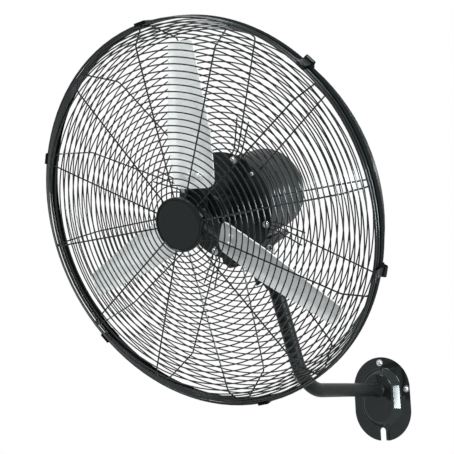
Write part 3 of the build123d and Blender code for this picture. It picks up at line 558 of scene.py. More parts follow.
def addRimBand(mesh):
    # a shallow channel, open inwards, over the ends of the wires
    front, back, sheet = rimBand["front"], rimBand["front"] + rimBand["width"], rimBand["sheet"]
    inner, outer = rimBand["inner"], rimBand["outer"]
    outside = rodProfile(outer, front, back, rimBand["ease"], inner)
    addSpun(mesh, outside + ((inner, back - sheet), (outer - sheet, back - sheet),
                             (outer - sheet, front + sheet), (inner, front + sheet)), 144)


finishWires(addRimBand, "rimBand", "rim_band", "rimBlack")
print("wire guards")

clip = {
    "angles": (0.0, 172.0, 235.0, 299.0), "sheet": 2.0, "width": 24.0, "lip": 398.0, "outer": 405.5,
    "front": -16.8, "back": 22.3,
}
latch = {
    "angles": (54.0, 113.0), "front": 2.7, "pinRadius": 412.0, "pinHeight": 12.5, "pin": 4.0,
    "earInside": 8.8, "earRadius": 3.6, "leverWidth": 17.0, "leverLength": 47.0, "hook": 9.0,
    "hookInside": 1.2, "rimFront": -14.5, "gap": 0.3, "pinGap": 0.05,
}


def addClipBody(mesh, angle, front):
    # a strip over the rim with a lip down each side
    half = clip["sheet"] / 2
    path = ((clip["lip"], front + half), (clip["outer"] - half, front + half),
            (clip["outer"] - half, clip["back"] - half), (clip["lip"], clip["back"] - half))
    addStrip(mesh, path, clip["sheet"], clip["width"], sideMatrix(angle))


def addRimClips(mesh):
    for angle in clip["angles"]:
        addClipBody(mesh, angle, clip["front"])


def addLatchBases(mesh):
    # clips with two ears each, and a pin through the ears
    centre, radius = (latch["pinRadius"], latch["pinHeight"]), latch["earRadius"]
    foot = clip["outer"] - clip["sheet"] / 2
    low, high = (foot, rimBand["front"]), (foot, rimBand["front"] + rimBand["width"])
    arc = arcPoints(centre, radius, tangentAngle(centre, radius, low, 1) - 360,
                    tangentAngle(centre, radius, high, -1), 14)
    reach = latch["earInside"] + clip["sheet"]
    for angle in latch["angles"]:
        addClipBody(mesh, angle, latch["front"])
        for side in (-1, 1):
            place = sideMatrix(angle) @ move(0, 0, side * (latch["earInside"] + clip["sheet"] / 2))
            addPlate(mesh, [low] + arc + [high], clip["sheet"], place, 0.3)
        addSpun(mesh, rodProfile(latch["pin"] / 2, -reach, reach, 0.4), 24, False, sideMatrix(angle, *centre))


def addLatchLever(mesh, angle):
    # an eye on the pin, an arm forwards, a hook over the front wire and a thumb tab
    half = clip["sheet"] / 2
    line = clip["outer"] + latch["gap"] + half
    hook = latch["rimFront"] - latch["gap"] - half
    thumb = latch["pinHeight"] - latch["leverLength"]
    eye = latch["pin"] / 2 + clip["sheet"]
    start = (latch["pinRadius"] - eye * 0.7, latch["pinHeight"] - eye * 0.6)
    tip = guard["rimRadius"] - latch["hookInside"]
    hold = (start, (line, latch["front"] - clip["sheet"]), (line, hook), (tip, hook))
    tab = ((line, hook + half), (line + latch["hook"] / 3, (hook + thumb) / 2), (line + latch["hook"], thumb))
    for path in (hold, tab):
        addStrip(mesh, path, clip["sheet"], latch["leverWidth"], sideMatrix(angle))
    reach = latch["leverWidth"] / 2
    addSpun(mesh, rodProfile(eye, -reach, reach, 0.3, latch["pin"] / 2 + latch["pinGap"]), 32, True,
            sideMatrix(angle, latch["pinRadius"], latch["pinHeight"]))


finishPiece(addRimClips, "rimClips", fanSpace, "head", "black_steel", ["rim_clips"], "rimBlack")
finishPiece(addLatchBases, "latchBases", fanSpace, "head", "black_steel", ["latch_bases"], "rimBlack")
for number, angle in enumerate(latch["angles"], 1):
    finishPiece(lambda mesh: addLatchLever(mesh, angle), "latchLever%d" % number, fanSpace,
                "latch_%d" % number, "black_steel", ["latch_lever_%d" % number])
print("clips and latches")

cap = {
    "radius": 55.8, "front": -60.0, "back": -53.5, "rimWidth": 3.5, "rimHeight": 1.6, "sheet": 1.5,
    "groove": 0.8, "stud": 4.0, "studEnd": -43.4,
}


def addCap(mesh):
    # a bare disc with a raised round rim, and the stud that holds it
    radius, front, inner = cap["radius"], cap["front"], cap["front"] + cap["sheet"]
    rimTop = front - cap["rimHeight"]
    inside, wall = radius - cap["rimWidth"], radius - cap["sheet"]
    addSpun(mesh, ((0, front), (inside - 2.4, front), (inside - 1.9, front + cap["groove"]),
                   (inside, front + cap["groove"]), (inside, rimTop + 0.7), (inside + 0.6, rimTop + 0.1),
                   (radius - 1.2, rimTop), (radius - 0.3, rimTop + 0.5), (radius, rimTop + 1.6),
                   (radius, cap["back"]), (wall, cap["back"]), (wall, inner),
                   (cap["stud"], inner), (cap["stud"], cap["studEnd"]), (0, cap["studEnd"])), 96, False)


finishPiece(addCap, "cap", fanSpace, "head", "cap_plastic", ["front_cap"])

mountPlate = {
    "radius": 118.0, "front": 107.0, "sheet": 3.0, "tabWidth": 80.0, "tabReach": 126.0, "corner": 3.0,
    "opening": 32.2,
}
clamps = {
    "angles": (30.0, 120.0, 210.0, 300.0), "radius": 107.0, "length": 17.0, "width": 22.0, "sheet": 3.0,
    "front": 113.3,
}
clampScrews = {
    "headRadius": 5.6, "headHeight": 3.6, "washer": 8.0, "nut": 10.0, "nutHeight": 5.0, "stud": 2.9,
    "studEnd": 8.0, "turns": (8, 31, 54, 77),
}
earthScrew = {
    "angle": 58.0, "radius": 106.0, "turn": 30, "headRadius": 5.0, "headHeight": 3.4, "nut": 9.0,
    "nutHeight": 4.0,
}


def addMountPlate(mesh):
    half, reach, corner = mountPlate["tabWidth"] / 2, mountPlate["tabReach"], mountPlate["corner"]
    start = degrees(acos(half / mountPlate["radius"]))
    outline = arcPoints((0, 0), mountPlate["radius"], start, -180 - start, 110)
    outline += [(-half, reach - corner), (-half + corner, reach),
                (half - corner, reach), (half, reach - corner)]
    middle = mountPlate["front"] + mountPlate["sheet"] / 2
    addPlate(mesh, outline, mountPlate["sheet"], move(0, 0, middle), 0.7)


def fillOpening(mesh):
    # the round opening for the motor's nose
    addBore(mesh, mountPlate["opening"], move(0, 0, mountPlate["front"]), 64)


def addGuardClamps(mesh):
    for angle in clamps["angles"]:
        place = sideMatrix(angle, clamps["radius"], clamps["front"] + clamps["sheet"] / 2)
        addBlock(mesh, (clamps["length"], clamps["sheet"], clamps["width"]), place, 0.6)


def plateScrewPlaces(angle, radius, turn, nutHeight, nutTurn):
    # on the front of the mounting plate, and behind what the screw holds
    return (frontMatrix(angle, radius, mountPlate["front"], turn),
            move(*sidePoint(angle, radius, nutHeight)) @ rotate(nutTurn))


mountPlatePiece = finishPiece(addMountPlate, "mountPlate", fanSpace, "head", "black_steel", ["mount_plate"])
reshape(mountPlatePiece, "DIFFERENCE", fillOpening, fanSpace)
finishPiece(addGuardClamps, "guardClamps", fanSpace, "head", "black_steel", ["guard_clamps"])
finishScrews("clampScrews", fanSpace, "head", clampScrews,
             [plateScrewPlaces(angle, clamps["radius"], turn, clamps["front"] + clamps["sheet"], turn)
              for angle, turn in zip(clamps["angles"], clampScrews["turns"])])
# the single screw between two clamps
finishScrews("earthScrew", fanSpace, "head", earthScrew,
             [plateScrewPlaces(earthScrew["angle"], earthScrew["radius"], earthScrew["turn"],
                               mountPlate["front"] + mountPlate["sheet"], 0)])
print("cap, mounting plate and screws")

cradle = {
    "width": 80.0, "sheet": 4.0, "top": 97.0, "front": 110.0, "end": 272.0, "tabReach": 126.0,
    "pivotBack": 174.0, "pivotDown": 121.0, "earRadius": 14.0, "notch": 11.0, "ringHeight": 122.0,
    "shoulder": 122.0, "backDepth": 11.0, "earStart": 183.0, "earEnd": -15.0,
}


def addCradle(mesh):
    # a strap under the motor, a foot on the mounting plate and two flanges with ears for the pivot
    width, sheet, top, reach = cradle["width"], cradle["sheet"], cradle["top"], cradle["tabReach"]
    front, end = cradle["front"], cradle["end"]
    addBlock(mesh, (width, sheet, end - front), move(0, top + sheet / 2, (front + end) / 2), 0.8)
    # the foot and the flanges start a hair inside the strap so that no corners fall together
    hair = 0.25
    depth = reach - top - hair
    addBlock(mesh, (width - 2 * hair, depth, sheet), move(0, reach - depth / 2, front + sheet / 2), 0.8)
    notchTop = cradle["ringHeight"] - cradle["notch"]
    notchEnd = cradle["ringHeight"] + cradle["notch"]
    outline = [(front + hair, top + hair), (front + hair, notchTop), (notchEnd, notchTop),
               (notchEnd + cradle["notch"], cradle["shoulder"])]
    outline += arcPoints((cradle["pivotBack"], cradle["pivotDown"]), cradle["earRadius"],
                         cradle["earStart"], cradle["earEnd"], 22)
    outline += [(end - hair, top + cradle["backDepth"]), (end - hair, top + hair)]
    for side in (-1, 1):
        # the outline's x runs backwards and its y down
        place = move(side * (width / 2 - sheet / 2 - hair), 0, 0) @ axes((0, 0, 1), (0, 1, 0), (-1, 0, 0))
        addPlate(mesh, outline, sheet, place, 0.6)


finishPiece(addCradle, "motorCradle", fanSpace, "head", "black_steel", ["cradle"])

pivot = {
    "barrel": 22.0, "barrelHalf": 35.6, "bore": 10.2, "screw": 10.0, "seat": 40.05, "washer": 12.0,
    "washerThick": 2.0, "head": 17.0, "headHeight": 8.0, "screwEnd": -60.2,
}
knob = {
    "start": -40.3, "hubRadius": 12.0, "hubLength": 9.0, "width": 22.0, "radius": 25.9, "wave": 1.6,
    "lobes": 6, "steps": 96,
}


def addPivotBarrel(mesh):
    half = pivot["barrelHalf"]
    addSpun(mesh, rodProfile(pivot["barrel"] / 2, -half, half, 0.7, pivot["bore"] / 2), 64)


def addPivotScrew(mesh):
    seat, washer, radius, end = pivot["seat"], pivot["washer"], pivot["screw"] / 2, pivot["screwEnd"]
    top = seat + pivot["washerThick"]
    addSpun(mesh, ((0, seat), (washer - 0.3, seat), (washer, seat + 0.3), (washer, top - 0.4),
                   (washer - 0.4, top), (0, top)), 48, False)
    addHexagon(mesh, pivot["head"], pivot["headHeight"], move(0, 0, top), 0.9)
    addSpun(mesh, ((0, seat), (radius, seat), (radius, end + 0.6), (radius - 0.6, end), (0, end)), 32, False)


def addTiltKnob(mesh):
    # a six-lobed hand knob on a round hub
    hub, start, bore = knob["hubRadius"], knob["start"], pivot["bore"] / 2
    foot = start - knob["hubLength"]
    addSpun(mesh, ((bore, start), (hub - 0.8, start), (hub, start - 0.8), (hub, foot - 1),
                   (bore, foot - 1)), 48)
    outline = []
    for step in range(knob["steps"]):
        angle = 2 * pi * step / knob["steps"]
        radius = knob["radius"] - knob["wave"] * cos(knob["lobes"] * angle)
        outline.append((radius * cos(angle), radius * sin(angle)))
    addPlate(mesh, outline, knob["width"], move(0, 0, foot - knob["width"] / 2), 2.0)


finishPiece(addPivotBarrel, "pivotBarrel", pivotSpace, "wall_arm", "black_steel", ["pivot_barrel"])
finishPiece(addPivotScrew, "pivotScrew", pivotSpace, "head", "bright_steel", ["pivot_screw"])
finishPiece(addTiltKnob, "tiltKnob", pivotSpace, "knob", "dark_plastic", ["tilt_knob"])
print("cradle, pivot and knob")

arm = {
    "tube": 33.7, "wall": 2.6, "start": -19.0, "reach": 391.0, "rise": 299.0, "angle": 64.7,
    "bendRadius": 120.0, "bendSteps": 24, "beadWidth": 3.4, "beadLength": 5.0, "bore": 5.0,
}
armTurn = radians(arm["angle"])
armWay = Vector((0, -cos(armTurn), sin(armTurn)))
armCorner = Vector((0, -arm["reach"], 0))
armTop = armCorner + armWay * arm["rise"]
# mast space: at the tube's upper end, y back towards the wall, z on along the tube
mastSpace = move(*armTop * 0.001) @ axes(sideDir, armWay.cross(sideDir), armWay)
plate = {
    "width": 163.0, "height": 220.0, "drop": 24.0, "sheet": 2.5, "domeWidth": 116.0, "domeHeight": 158.0,
    "domeDrop": 21.0, "domeDepth": 25.0, "flank": 18.0, "holeSpacing": 144.0, "hole": 9.0, "topHole": 71.0,
    "channelWidth": 30.0, "channelDepth": 7.0, "channelTop": 80.0, "channelEnd": 132.4, "slotWidth": 16.0,
    "slotTop": 107.0,
}
beadCurve = ((1.0, 0.0), (0.9, 0.3), (0.65, 0.6), (0.3, 0.85))  # in shares of the bead's width and length
# the flank runs out of the flange and into the top in two soft curves, in shares of its width and depth
flankCurve = ((-0.1, 0.0), (0.0, 0.019), (0.1, 0.074), (0.2, 0.167), (0.8, 0.833), (0.9, 0.926), (1.0, 0.981),
              (1.1, 1.0))


def armPath(extra=0.0):
    # the tube lies in the plane x = 0: level out of the wall, then up to the yoke
    cutBack = arm["bendRadius"] * tan(armTurn / 2)
    centre = armCorner + Vector((0, cutBack, arm["bendRadius"]))
    start = Vector((0, arm["start"] + extra, 0))
    path = [start, start.lerp(armCorner + Vector((0, cutBack, 0)), 0.5)]
    for step in range(arm["bendSteps"] + 1):
        angle = armTurn * step / arm["bendSteps"]
        path.append(centre + arm["bendRadius"] * Vector((0, -sin(angle), -cos(angle))))
    return path + [armCorner + armWay * (cutBack + 20), armTop + armWay * extra]


def addArmTube(mesh):
    addWire(mesh, armPath(), sideDir, arm["tube"], 40)


def fillArmBore(mesh):
    addWire(mesh, armPath(arm["bore"]), sideDir, arm["tube"] - 2 * arm["wall"], 32)


def addWeldBead(mesh):
    # a bead of weld round the tube, on the wall plate
    radius, foot = arm["tube"] / 2, plate["domeDepth"] + guard["weldGap"]
    width, length, inside = arm["beadWidth"], arm["beadLength"], radius - 0.5
    bulge = [(radius + width * out, foot + length * along) for out, along in beadCurve]
    addSpun(mesh, [(inside, foot)] + bulge + [(inside, foot + length)], 96)


def addStadium(mesh, levels, steps=64):
    # stacked upright stadium outlines of (width, height, drop, out), each drawn out of the one before
    width, height, drop, out = levels[0]
    place = move(0, -drop, out) @ rotate(180 / steps)
    loop = bmesh.ops.create_circle(mesh, segments=steps, radius=width / 2, matrix=place)["verts"]
    for vert in loop:
        vert.co.y += (height - width) / 2 if vert.co.y > -drop else (width - height) / 2
    edges = edgesOf(loop)
    bmesh.ops.edgeloop_fill(mesh, edges=edges)
    for nextWidth, nextHeight, nextDrop, nextOut in levels[1:]:
        verts = vertsOf(bmesh.ops.extrude_edge_only(mesh, edges=edges)["geom"])
        for vert in verts:
            side = 1 if vert.co.y > -drop else -1
            rise = vert.co.y + drop - side * (height - width) / 2
            straight = side * (nextHeight - nextWidth) / 2
            vert.co = (vert.co.x * nextWidth / width, rise * nextWidth / width + straight - nextDrop, nextOut)
        edges = edgesOf(verts)
        width, height, drop = nextWidth, nextHeight, nextDrop
    bmesh.ops.edgeloop_fill(mesh, edges=edges)


def addWallPlate(mesh):
    width, height, drop, sheet = plate["width"], plate["height"], plate["drop"], plate["sheet"]
    levels = [(width, height, drop, 0.0), (width, height, drop, sheet - 0.8),
              (width - 0.5, height - 0.5, drop, sheet - 0.2), (width - 1.6, height - 1.6, drop, sheet)]
    for share, rise in flankCurve:
        inward = 2 * plate["flank"] * share
        levels.append((plate["domeWidth"] - inward, plate["domeHeight"] - inward, plate["domeDrop"],
                       between(sheet, plate["domeDepth"], rise)))
    addStadium(mesh, levels)


def fillChannel(mesh):
    # the raised channel below the dome, its foot sunk into the sheet
    low, high, sunk = -plate["channelEnd"], -plate["channelTop"], 0.5
    size = (plate["channelWidth"], high - low, plate["channelDepth"] - sunk)
    addBlock(mesh, size, move(0, (low + high) / 2, size[2] / 2 + sunk), 2.2)


def fillHollow(mesh):
    # the hollow of the dome on the wall side
    sheet, flank = plate["sheet"], plate["flank"]
    width, height, drop = plate["domeWidth"], plate["domeHeight"], plate["domeDrop"]
    foot = (width - 2 * sheet, height - 2 * sheet, drop)
    top = (width - 2 * flank - sheet, height - 2 * flank - sheet, drop)
    addStadium(mesh, [(*foot, -1.0), (*foot, 0.0), (*top, plate["domeDepth"] - sheet)])


def fillChannelHollow(mesh):
    low, high = -plate["channelEnd"] - 5, -plate["channelTop"]
    depth = plate["channelDepth"] - plate["sheet"]
    addBlock(mesh, (plate["channelWidth"] - 2 * plate["sheet"], high - low, 2 * depth),
             move(0, (low + high) / 2, 0))


def fillHoles(mesh):
    for x, y in ((-plate["holeSpacing"] / 2, 0), (plate["holeSpacing"] / 2, 0), (0, plate["topHole"])):
        addBore(mesh, plate["hole"] / 2, move(x, y, 0), 32)


def fillSlot(mesh):
    # the open slot at the lower edge, round at its upper end
    half, top = plate["slotWidth"] / 2, -plate["slotTop"]
    outline = arcPoints((0, top), half, 0, 180, 20) + [(-half, top - 60), (half, top - 60)]
    addPlate(mesh, outline, 40, Matrix(), 0)


wallPlate = finishPiece(addWallPlate, "wallPlate", wallSpace, "wall_arm", "black_steel", ["wall_plate"],
                        "plateBlack")
reshape(wallPlate, "UNION", fillChannel, wallSpace)
for fill in (fillHollow, fillChannelHollow, fillHoles, fillSlot):
    reshape(wallPlate, "DIFFERENCE", fill, wallSpace)
armTube = finishPiece(addArmTube, "armTube", Matrix(), "wall_arm", "black_steel", ["arm_tube"], "tubeBlack")
reshape(armTube, "DIFFERENCE", fillArmBore, Matrix())
finishPiece(addWeldBead, "weldBead", wallSpace, "wall_arm", "black_steel", (), "tubeBlack")

wallScrews = {
    "places": ((-72.0, 0.0, 15), (72.0, 0.0, 40), (0.0, 71.0, 70)), "headRadius": 6.4, "headHeight": 4.2,
    "washer": 9.0,
}
finishScrews("wallScrews", wallSpace, "wall_arm", wallScrews,
             [(move(x, y, plate["sheet"]) @ rotate(turn), None) for x, y, turn in wallScrews["places"]])

yoke = {
    "sheet": 4.0, "inside": 16.9, "front": 41.4, "drop": 22.6, "tail": 48.0, "tailHalf": 5.0,
    "earRadius": 15.0, "pivotUp": 54.7, "pivotAhead": 42.4,
}


def addYokeCheeks(mesh):
    # two cheeks beside the tube, from a tail on the tube up to an ear round the barrel
    tube, front, drop = arm["tube"] / 2, -yoke["front"], -yoke["drop"]
    half, tail = yoke["tailHalf"], -yoke["tail"]
    centre = (-yoke["pivotAhead"], yoke["pivotUp"])
    start = tangentAngle(centre, yoke["earRadius"], (front, 0), -1)
    end = tangentAngle(centre, yoke["earRadius"], (tube, 0), 1)
    outline = [(tube, 0), (tube, drop), (half, tail), (-half, tail), (-tube, drop), (front, drop), (front, 0)]
    outline += arcPoints(centre, yoke["earRadius"], start, end - 360 if end > start else end, 20)
    for side in (-1, 1):
        # the outline's x runs back towards the wall and its y up the tube
        across = side * (yoke["inside"] + yoke["sheet"] / 2)
        place = move(across, 0, 0) @ axes((0, 1, 0), (0, 0, 1), (1, 0, 0))
        addPlate(mesh, outline, yoke["sheet"], place, 0.6)


finishPiece(addYokeCheeks, "yokeCheeks", mastSpace, "wall_arm", "black_steel", ["yoke_cheeks"], "tubeBlack")
print("wall plate, arm and yoke")

motor = {
    "radius": 96.5, "rearStep": 2.0, "plateBack": 110.0, "length": 190.0, "split": 206.0, "bevel": 9.0,
    "wall": 4.5, "vents": 12, "ventRadius": 66.0, "ventWidth": 7.0, "ventHeight": 24.0, "shaftBore": 13.0,
    "noseFront": 67.0, "noseTip": 25.0, "nose": 32.0, "seat": 21.0, "gap": 0.05,
}
coverScrews = {"count": 4, "radius": 72.0, "width": 8.0, "height": 4.0, "washer": 6.5, "washerThick": 1.1}
gland = {
    "angle": 222.0, "base": 94.4, "height": 272.0, "nut": 20.6, "nutHeight": 6.0, "length": 15.0,
    "radius": 9.4, "tip": 7.8, "hole": 4.2,
}
motorEnd = motor["plateBack"] + motor["length"]


def addFrontBell(mesh):
    radius, front, split, seat = motor["radius"], motor["plateBack"], motor["split"], motor["seat"]
    inside, back = radius - motor["wall"], front + motor["wall"]
    addSpun(mesh, ((seat, front), (radius - 4, front), (radius - 1.2, front + 1.2), (radius, front + 4),
                   (radius, split - 0.8), (radius - 0.8, split), (inside, split), (inside, back),
                   (seat, back)), 96)


def addMotorNose(mesh):
    # the front bell's neck, in the darker finish of the mounting plate rather than the bell's grey
    bore, seat, tip, front = motor["shaftBore"], motor["seat"], motor["noseTip"], motor["noseFront"]
    back, end = front + motor["wall"], motor["plateBack"]
    addSpun(mesh, ((bore, front + 0.2), (tip - 1, front), (tip, front + 1), (motor["nose"], end),
                   (seat, end), (seat, back), (bore, back)), 96)


def addRearBell(mesh):
    radius, bevel, wall = motor["radius"] - motor["rearStep"], motor["bevel"], motor["wall"]
    start = motor["split"] + motor["gap"]
    curve = arcPoints((radius - bevel, motorEnd - bevel), bevel, 90, 0, 8)
    addSpun(mesh, [(0, motorEnd)] + curve + [
        (radius, start), (radius - wall, start), (radius - wall, motorEnd - bevel - wall),
        (radius - bevel - wall, motorEnd - wall), (0, motorEnd - wall)], 96, False)


def fillVents(mesh):
    for index in range(motor["vents"]):
        angle = (index + 0.5) * 360 / motor["vents"]
        place = move(*sidePoint(angle, motor["ventRadius"], motorEnd)) @ rotate(angle)
        addBlock(mesh, (motor["ventWidth"], motor["ventHeight"], 20), place)


def addCoverScrews(mesh):
    washer, thick = coverScrews["washer"], coverScrews["washerThick"]
    for index in range(coverScrews["count"]):
        place = move(*sidePoint(index * 360 / coverScrews["count"], coverScrews["radius"], motorEnd))
        addSpun(mesh, ((0, 0), (washer, 0), (washer, thick - 0.3), (washer - 0.3, thick), (0, thick)),
                24, False, place)
        addHexagon(mesh, coverScrews["width"], coverScrews["height"], place @ move(0, 0, thick))


def addCableGland(mesh):
    # a hexagonal foot and a round nut with a rubber-lined hole
    foot, end, hole = gland["nutHeight"], gland["length"], gland["hole"]
    radius, tip = gland["radius"], gland["tip"]
    outward = sideMatrix(gland["angle"], gland["base"], gland["height"]) @ rotate(90, "Y")
    addHexagon(mesh, gland["nut"], foot, outward, 0.8)
    addSpun(mesh, ((0, foot), (radius, foot), (radius, foot + 3), (tip + 0.8, end - 1.5), (tip - 1, end),
                   (hole, end), (hole - 0.4, end - 6), (0, end - 6)), 32, False, outward)


finishPiece(addFrontBell, "motorFrontBell", fanSpace, "head", "motor_grey", ["motor_front_bell"])
finishPiece(addMotorNose, "motorNose", fanSpace, "head", "black_steel")
rearBell = finishPiece(addRearBell, "motorRearBell", fanSpace, "head", "motor_grey", ["motor_rear_bell"])
reshape(rearBell, "DIFFERENCE", fillVents, fanSpace)
finishPiece(addCoverScrews, "coverScrews", fanSpace, "head", "bright_steel")
finishPiece(addCableGland, "cableGland", fanSpace, "head", "dark_plastic", ["cable_gland"])
print("motor")

blade = {
    "count": 3, "firstAngle": 11.5, "midHeight": 8.0, "root": 60.0, "tip": 355.0, "shoulder": 175.0,
    "rootWidth": 78.0, "width": 84.0, "tipWidth": 49.0, "rootCorner": 18.0, "tipCorner": 7.0, "sheet": 1.8,
    "fold": 6.0, "strip": 15.0, "rootPitch": 21.0, "tipPitch": 13.0, "pitchStart": 112.0, "pitchEnd": 360.0,
    "foldEase": 5.0, "trim": 4.5, "rows": 60, "columns": 36, "sharpAngle": 60,
}


def bladeHalfWidth(radius):
    # half the blade's width on the outline seen along the axis
    root, tip, shoulder, width = blade["root"], blade["tip"], blade["shoulder"], blade["width"]
    if radius < shoulder:
        half = between(blade["rootWidth"], width, (radius - root) / (shoulder - root)) / 2
    else:
        half = between(width, blade["tipWidth"], (radius - shoulder) / (tip - shoulder)) / 2
    for corner, inset in ((blade["rootCorner"], radius - root), (blade["tipCorner"], tip - radius)):
        if inset < corner:
            half -= corner - (corner * corner - (corner - inset) ** 2) ** 0.5
    return half


def bladePoint(radius, side):
    # the blade's front surface: the pressed panel is flat, and the strips fold forward beside it
    turning = min(max((radius - blade["pitchStart"]) / (blade["pitchEnd"] - blade["pitchStart"]), 0), 1)
    pitch = radians(between(blade["rootPitch"], blade["tipPitch"], turning))
    width = between(blade["width"], blade["tipWidth"], turning) + blade["trim"]
    chord = side / cos(pitch)
    over = abs(chord) - (width / 2 / cos(pitch) - blade["strip"])
    ease = blade["foldEase"]
    bend = 0.0 if over < -ease else (over + ease) ** 2 / (4 * ease) if over < ease else over
    fold = -bend * blade["fold"] / blade["strip"]
    return Vector((radius, chord * cos(pitch) - fold * sin(pitch),
                   blade["midHeight"] + chord * sin(pitch) + fold * cos(pitch)))


def bladeMatrix(turn):
    # the blade's own space: x outwards, y to its clockwise side, z backwards
    return axes(sidePoint(turn, 1, 0), sideNormal(turn), (0, 0, 1))


def addBlade(mesh, turn):
    grid = bmesh.ops.create_grid(mesh, x_segments=blade["rows"], y_segments=blade["columns"], size=0.5)
    for vert in grid["verts"]:
        # closer rows at both ends, where the corners are round
        radius = between(blade["root"], blade["tip"], 0.5 - 0.5 * cos(pi * (vert.co.x + 0.5)))
        vert.co = bladePoint(radius, vert.co.y * 2 * bladeHalfWidth(radius))
    bmesh.ops.recalc_face_normals(mesh, faces=mesh.faces)
    if mesh.faces[:][0].normal.z < 0:
        bmesh.ops.reverse_faces(mesh, faces=mesh.faces)
    bmesh.ops.solidify(mesh, geom=mesh.faces[:], thickness=-blade["sheet"])
    bmesh.ops.transform(mesh, matrix=bladeMatrix(turn), verts=mesh.verts)


bladeTurns = [blade["firstAngle"] + index * 360 / blade["count"] for index in range(blade["count"])]
for number, turn in enumerate(bladeTurns, 1):
    finishPiece(lambda mesh: addBlade(mesh, turn), "blade%d" % number, fanSpace, "rotor", "blade_silver",
                ["blade_%d" % number], angle=blade["sharpAngle"])

hub = {
    "radius": 55.0, "sheet": 4.0, "front": 24.0, "bossRadius": 21.0, "bossFront": 14.0, "bossBack": 44.0,
    "bore": 9.0, "armStart": 17.0, "armEnd": 108.0, "armWidth": 46.0, "armSheet": 3.0, "ease": 0.8,
}
bladeScrews = {
    "radius": 86.0, "chords": (-11.0, 11.0), "headRadius": 5.2, "headHeight": 3.2, "washer": 7.0,
    "nut": 9.0, "nutHeight": 4.0,
}
shaftNut = {"width": 27.0, "front": 2.0, "height": 12.0}


def pitchMatrix(turn, radius, chord, depth):
    # a place on a blade's root: x outwards, y along the chord, z square to the sheet and backwards
    return (bladeMatrix(turn) @ move(radius, 0, blade["midHeight"]) @ rotate(blade["rootPitch"], "X")
            @ move(0, chord, depth))


def addHub(mesh):
    # a disc on a boss, with an arm under each blade
    boss, radius, ease = hub["bossRadius"], hub["radius"], hub["ease"]
    front, back = hub["front"], hub["front"] + hub["sheet"]
    start, end = hub["bossFront"], hub["bossBack"]
    addSpun(mesh, ((hub["bore"], start), (boss - ease, start), (boss, start + ease), (boss, front),
                   (radius - ease, front), (radius, front + ease), (radius, back - ease),
                   (radius - ease, back), (boss, back), (boss, end - ease), (boss - ease, end),
                   (hub["bore"], end)), 96)
    length = hub["armEnd"] - hub["armStart"]
    for turn in bladeTurns:
        place = pitchMatrix(turn, hub["armStart"] + length / 2, 0, blade["sheet"] + hub["armSheet"] / 2)
        addBlock(mesh, (length, hub["armWidth"], hub["armSheet"]), place, 0.6)


def addShaftNut(mesh):
    addHexagon(mesh, shaftNut["width"], shaftNut["height"], move(0, 0, shaftNut["front"]), 1.0)


finishPiece(addHub, "bladeHub", fanSpace, "rotor", "black_steel", ["hub"])
bladeScrewPlaces = []
for turn in bladeTurns:
    for chord in bladeScrews["chords"]:
        front = pitchMatrix(turn, bladeScrews["radius"], chord, 0) @ rotate(180, "X")
        behind = pitchMatrix(turn, bladeScrews["radius"], chord, blade["sheet"] + hub["armSheet"])
        bladeScrewPlaces.append((front, behind))
finishScrews("bladeScrews", fanSpace, "rotor", bladeScrews, bladeScrewPlaces, "zincBright")
finishPiece(addShaftNut, "shaftNut", fanSpace, "rotor", "bright_steel", ["shaft_nut"])
print("blades and hub")

cameraView = {
    "place": (1.071, -2.141, -0.024), "aim": (-0.0878, -0.5604, 0.3748), "roll": -1.6, "lens": 68.6,
}
lights = {
    "key": {"place": (1.6, -3.1, 1.9), "width": 1.2, "height": 1.2, "power": 90},
    "side": {"place": (2.28, -0.34, 0.05), "width": 0.3, "height": 1.2, "power": 95},
    "left": {"place": (-0.6, -3.0, 2.3), "width": 1.0, "height": 1.0, "power": 85},
}
lightAim = (0, -0.65, 0.25)
stage = {
    "floorHeight": -1.5, "floorAhead": 0.5, "floorRadius": 2.0, "floorGlow": 0.7,
    "floorColour": (0.86, 0.86, 0.86, 1), "floorRoughness": 0.9, "world": 0.08,
}
white = (1, 1, 1, 1)


def lookFrom(place, aim):
    way = Vector(aim) - Vector(place)
    return move(*place) @ way.to_track_quat("-Z", "Y").to_matrix().to_4x4()


def addCamera():
    data = bpy.data.cameras.new("camera")
    data.lens = cameraView["lens"]
    camera = addObject("camera", data)
    camera.matrix_world = lookFrom(cameraView["place"], cameraView["aim"]) @ rotate(cameraView["roll"])
    bpy.context.scene.camera = camera


def addLights():
    for name, light in lights.items():
        data = bpy.data.lights.new(name, "AREA")
        data.shape = "RECTANGLE"
        data.size = light["width"]
        data.size_y = light["height"]
        data.energy = light["power"]
        addObject(name, data).matrix_world = lookFrom(light["place"], lightAim)


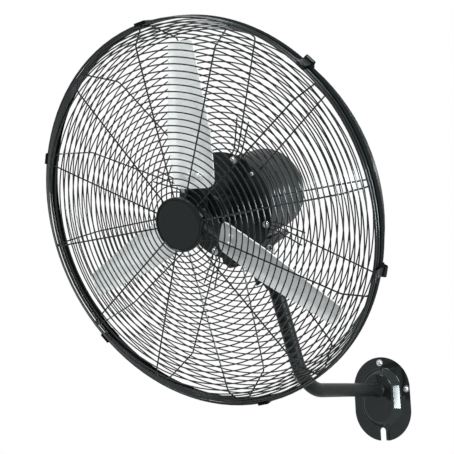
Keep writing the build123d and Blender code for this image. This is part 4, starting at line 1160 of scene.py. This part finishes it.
def seenRays(tree):
    # 1 where the camera, a reflection or a clear material looks, 0 for the light that falls on the fan
    rays = addNode(tree, "ShaderNodeLightPath")
    seen = rays.outputs["Is Camera Ray"]
    for name in ("Is Glossy Ray", "Is Transmission Ray"):
        either = addNode(tree, "ShaderNodeMath")
        either.operation = "MAXIMUM"
        tree.links.new(seen, either.inputs[0])
        tree.links.new(rays.outputs[name], either.inputs[1])
        seen = either.outputs["Value"]
    return seen


def mixShaders(tree, factor, first, second, output):
    mix = addNode(tree, "ShaderNodeMixShader")
    tree.links.new(factor, mix.inputs["Fac"])
    tree.links.new(first, mix.inputs[1])
    tree.links.new(second, mix.inputs[2])
    tree.links.new(mix.outputs["Shader"], tree.nodes[output].inputs["Surface"])


def addStage():
    mesh = bmesh.new()
    bmesh.ops.create_circle(mesh, cap_ends=True, segments=64, radius=stage["floorRadius"],
                            matrix=move(0, -stage["floorAhead"], stage["floorHeight"]))
    data = bpy.data.meshes.new("floor")
    mesh.to_mesh(data)
    mesh.free()
    floor = addObject("floor", data)
    material, tree, shader = newMaterial("floorPale")
    setInputs(shader, {"Base Color": stage["floorColour"], "Roughness": stage["floorRoughness"]})
    # the floor keeps the shadow, but looks evenly pale
    glow = addNode(tree, "ShaderNodeEmission", Color=stage["floorColour"], Strength=1.0)
    share = addNode(tree, "ShaderNodeMath")
    share.operation = "MULTIPLY"
    share.inputs[1].default_value = stage["floorGlow"]
    tree.links.new(seenRays(tree), share.inputs[0])
    mixShaders(tree, share.outputs["Value"], shader.outputs["BSDF"], glow.outputs["Emission"],
               "Material Output")
    data.materials.append(material)


def addWorld():
    # white where the camera, a reflection or a clear material looks; softer as a light
    world = bpy.data.worlds.new("world")
    world.use_nodes = True
    bpy.context.scene.world = world
    tree = world.node_tree
    light = setInputs(tree.nodes["Background"], {"Color": white, "Strength": stage["world"]})
    backdrop = addNode(tree, "ShaderNodeBackground", Color=white, Strength=1.0)
    mixShaders(tree, seenRays(tree), light.outputs["Background"], backdrop.outputs["Background"],
               "World Output")


addCamera()
addLights()
addStage()
addWorld()
bpy.context.scene.view_settings.view_transform = "Standard"
print("camera, lights and stage")
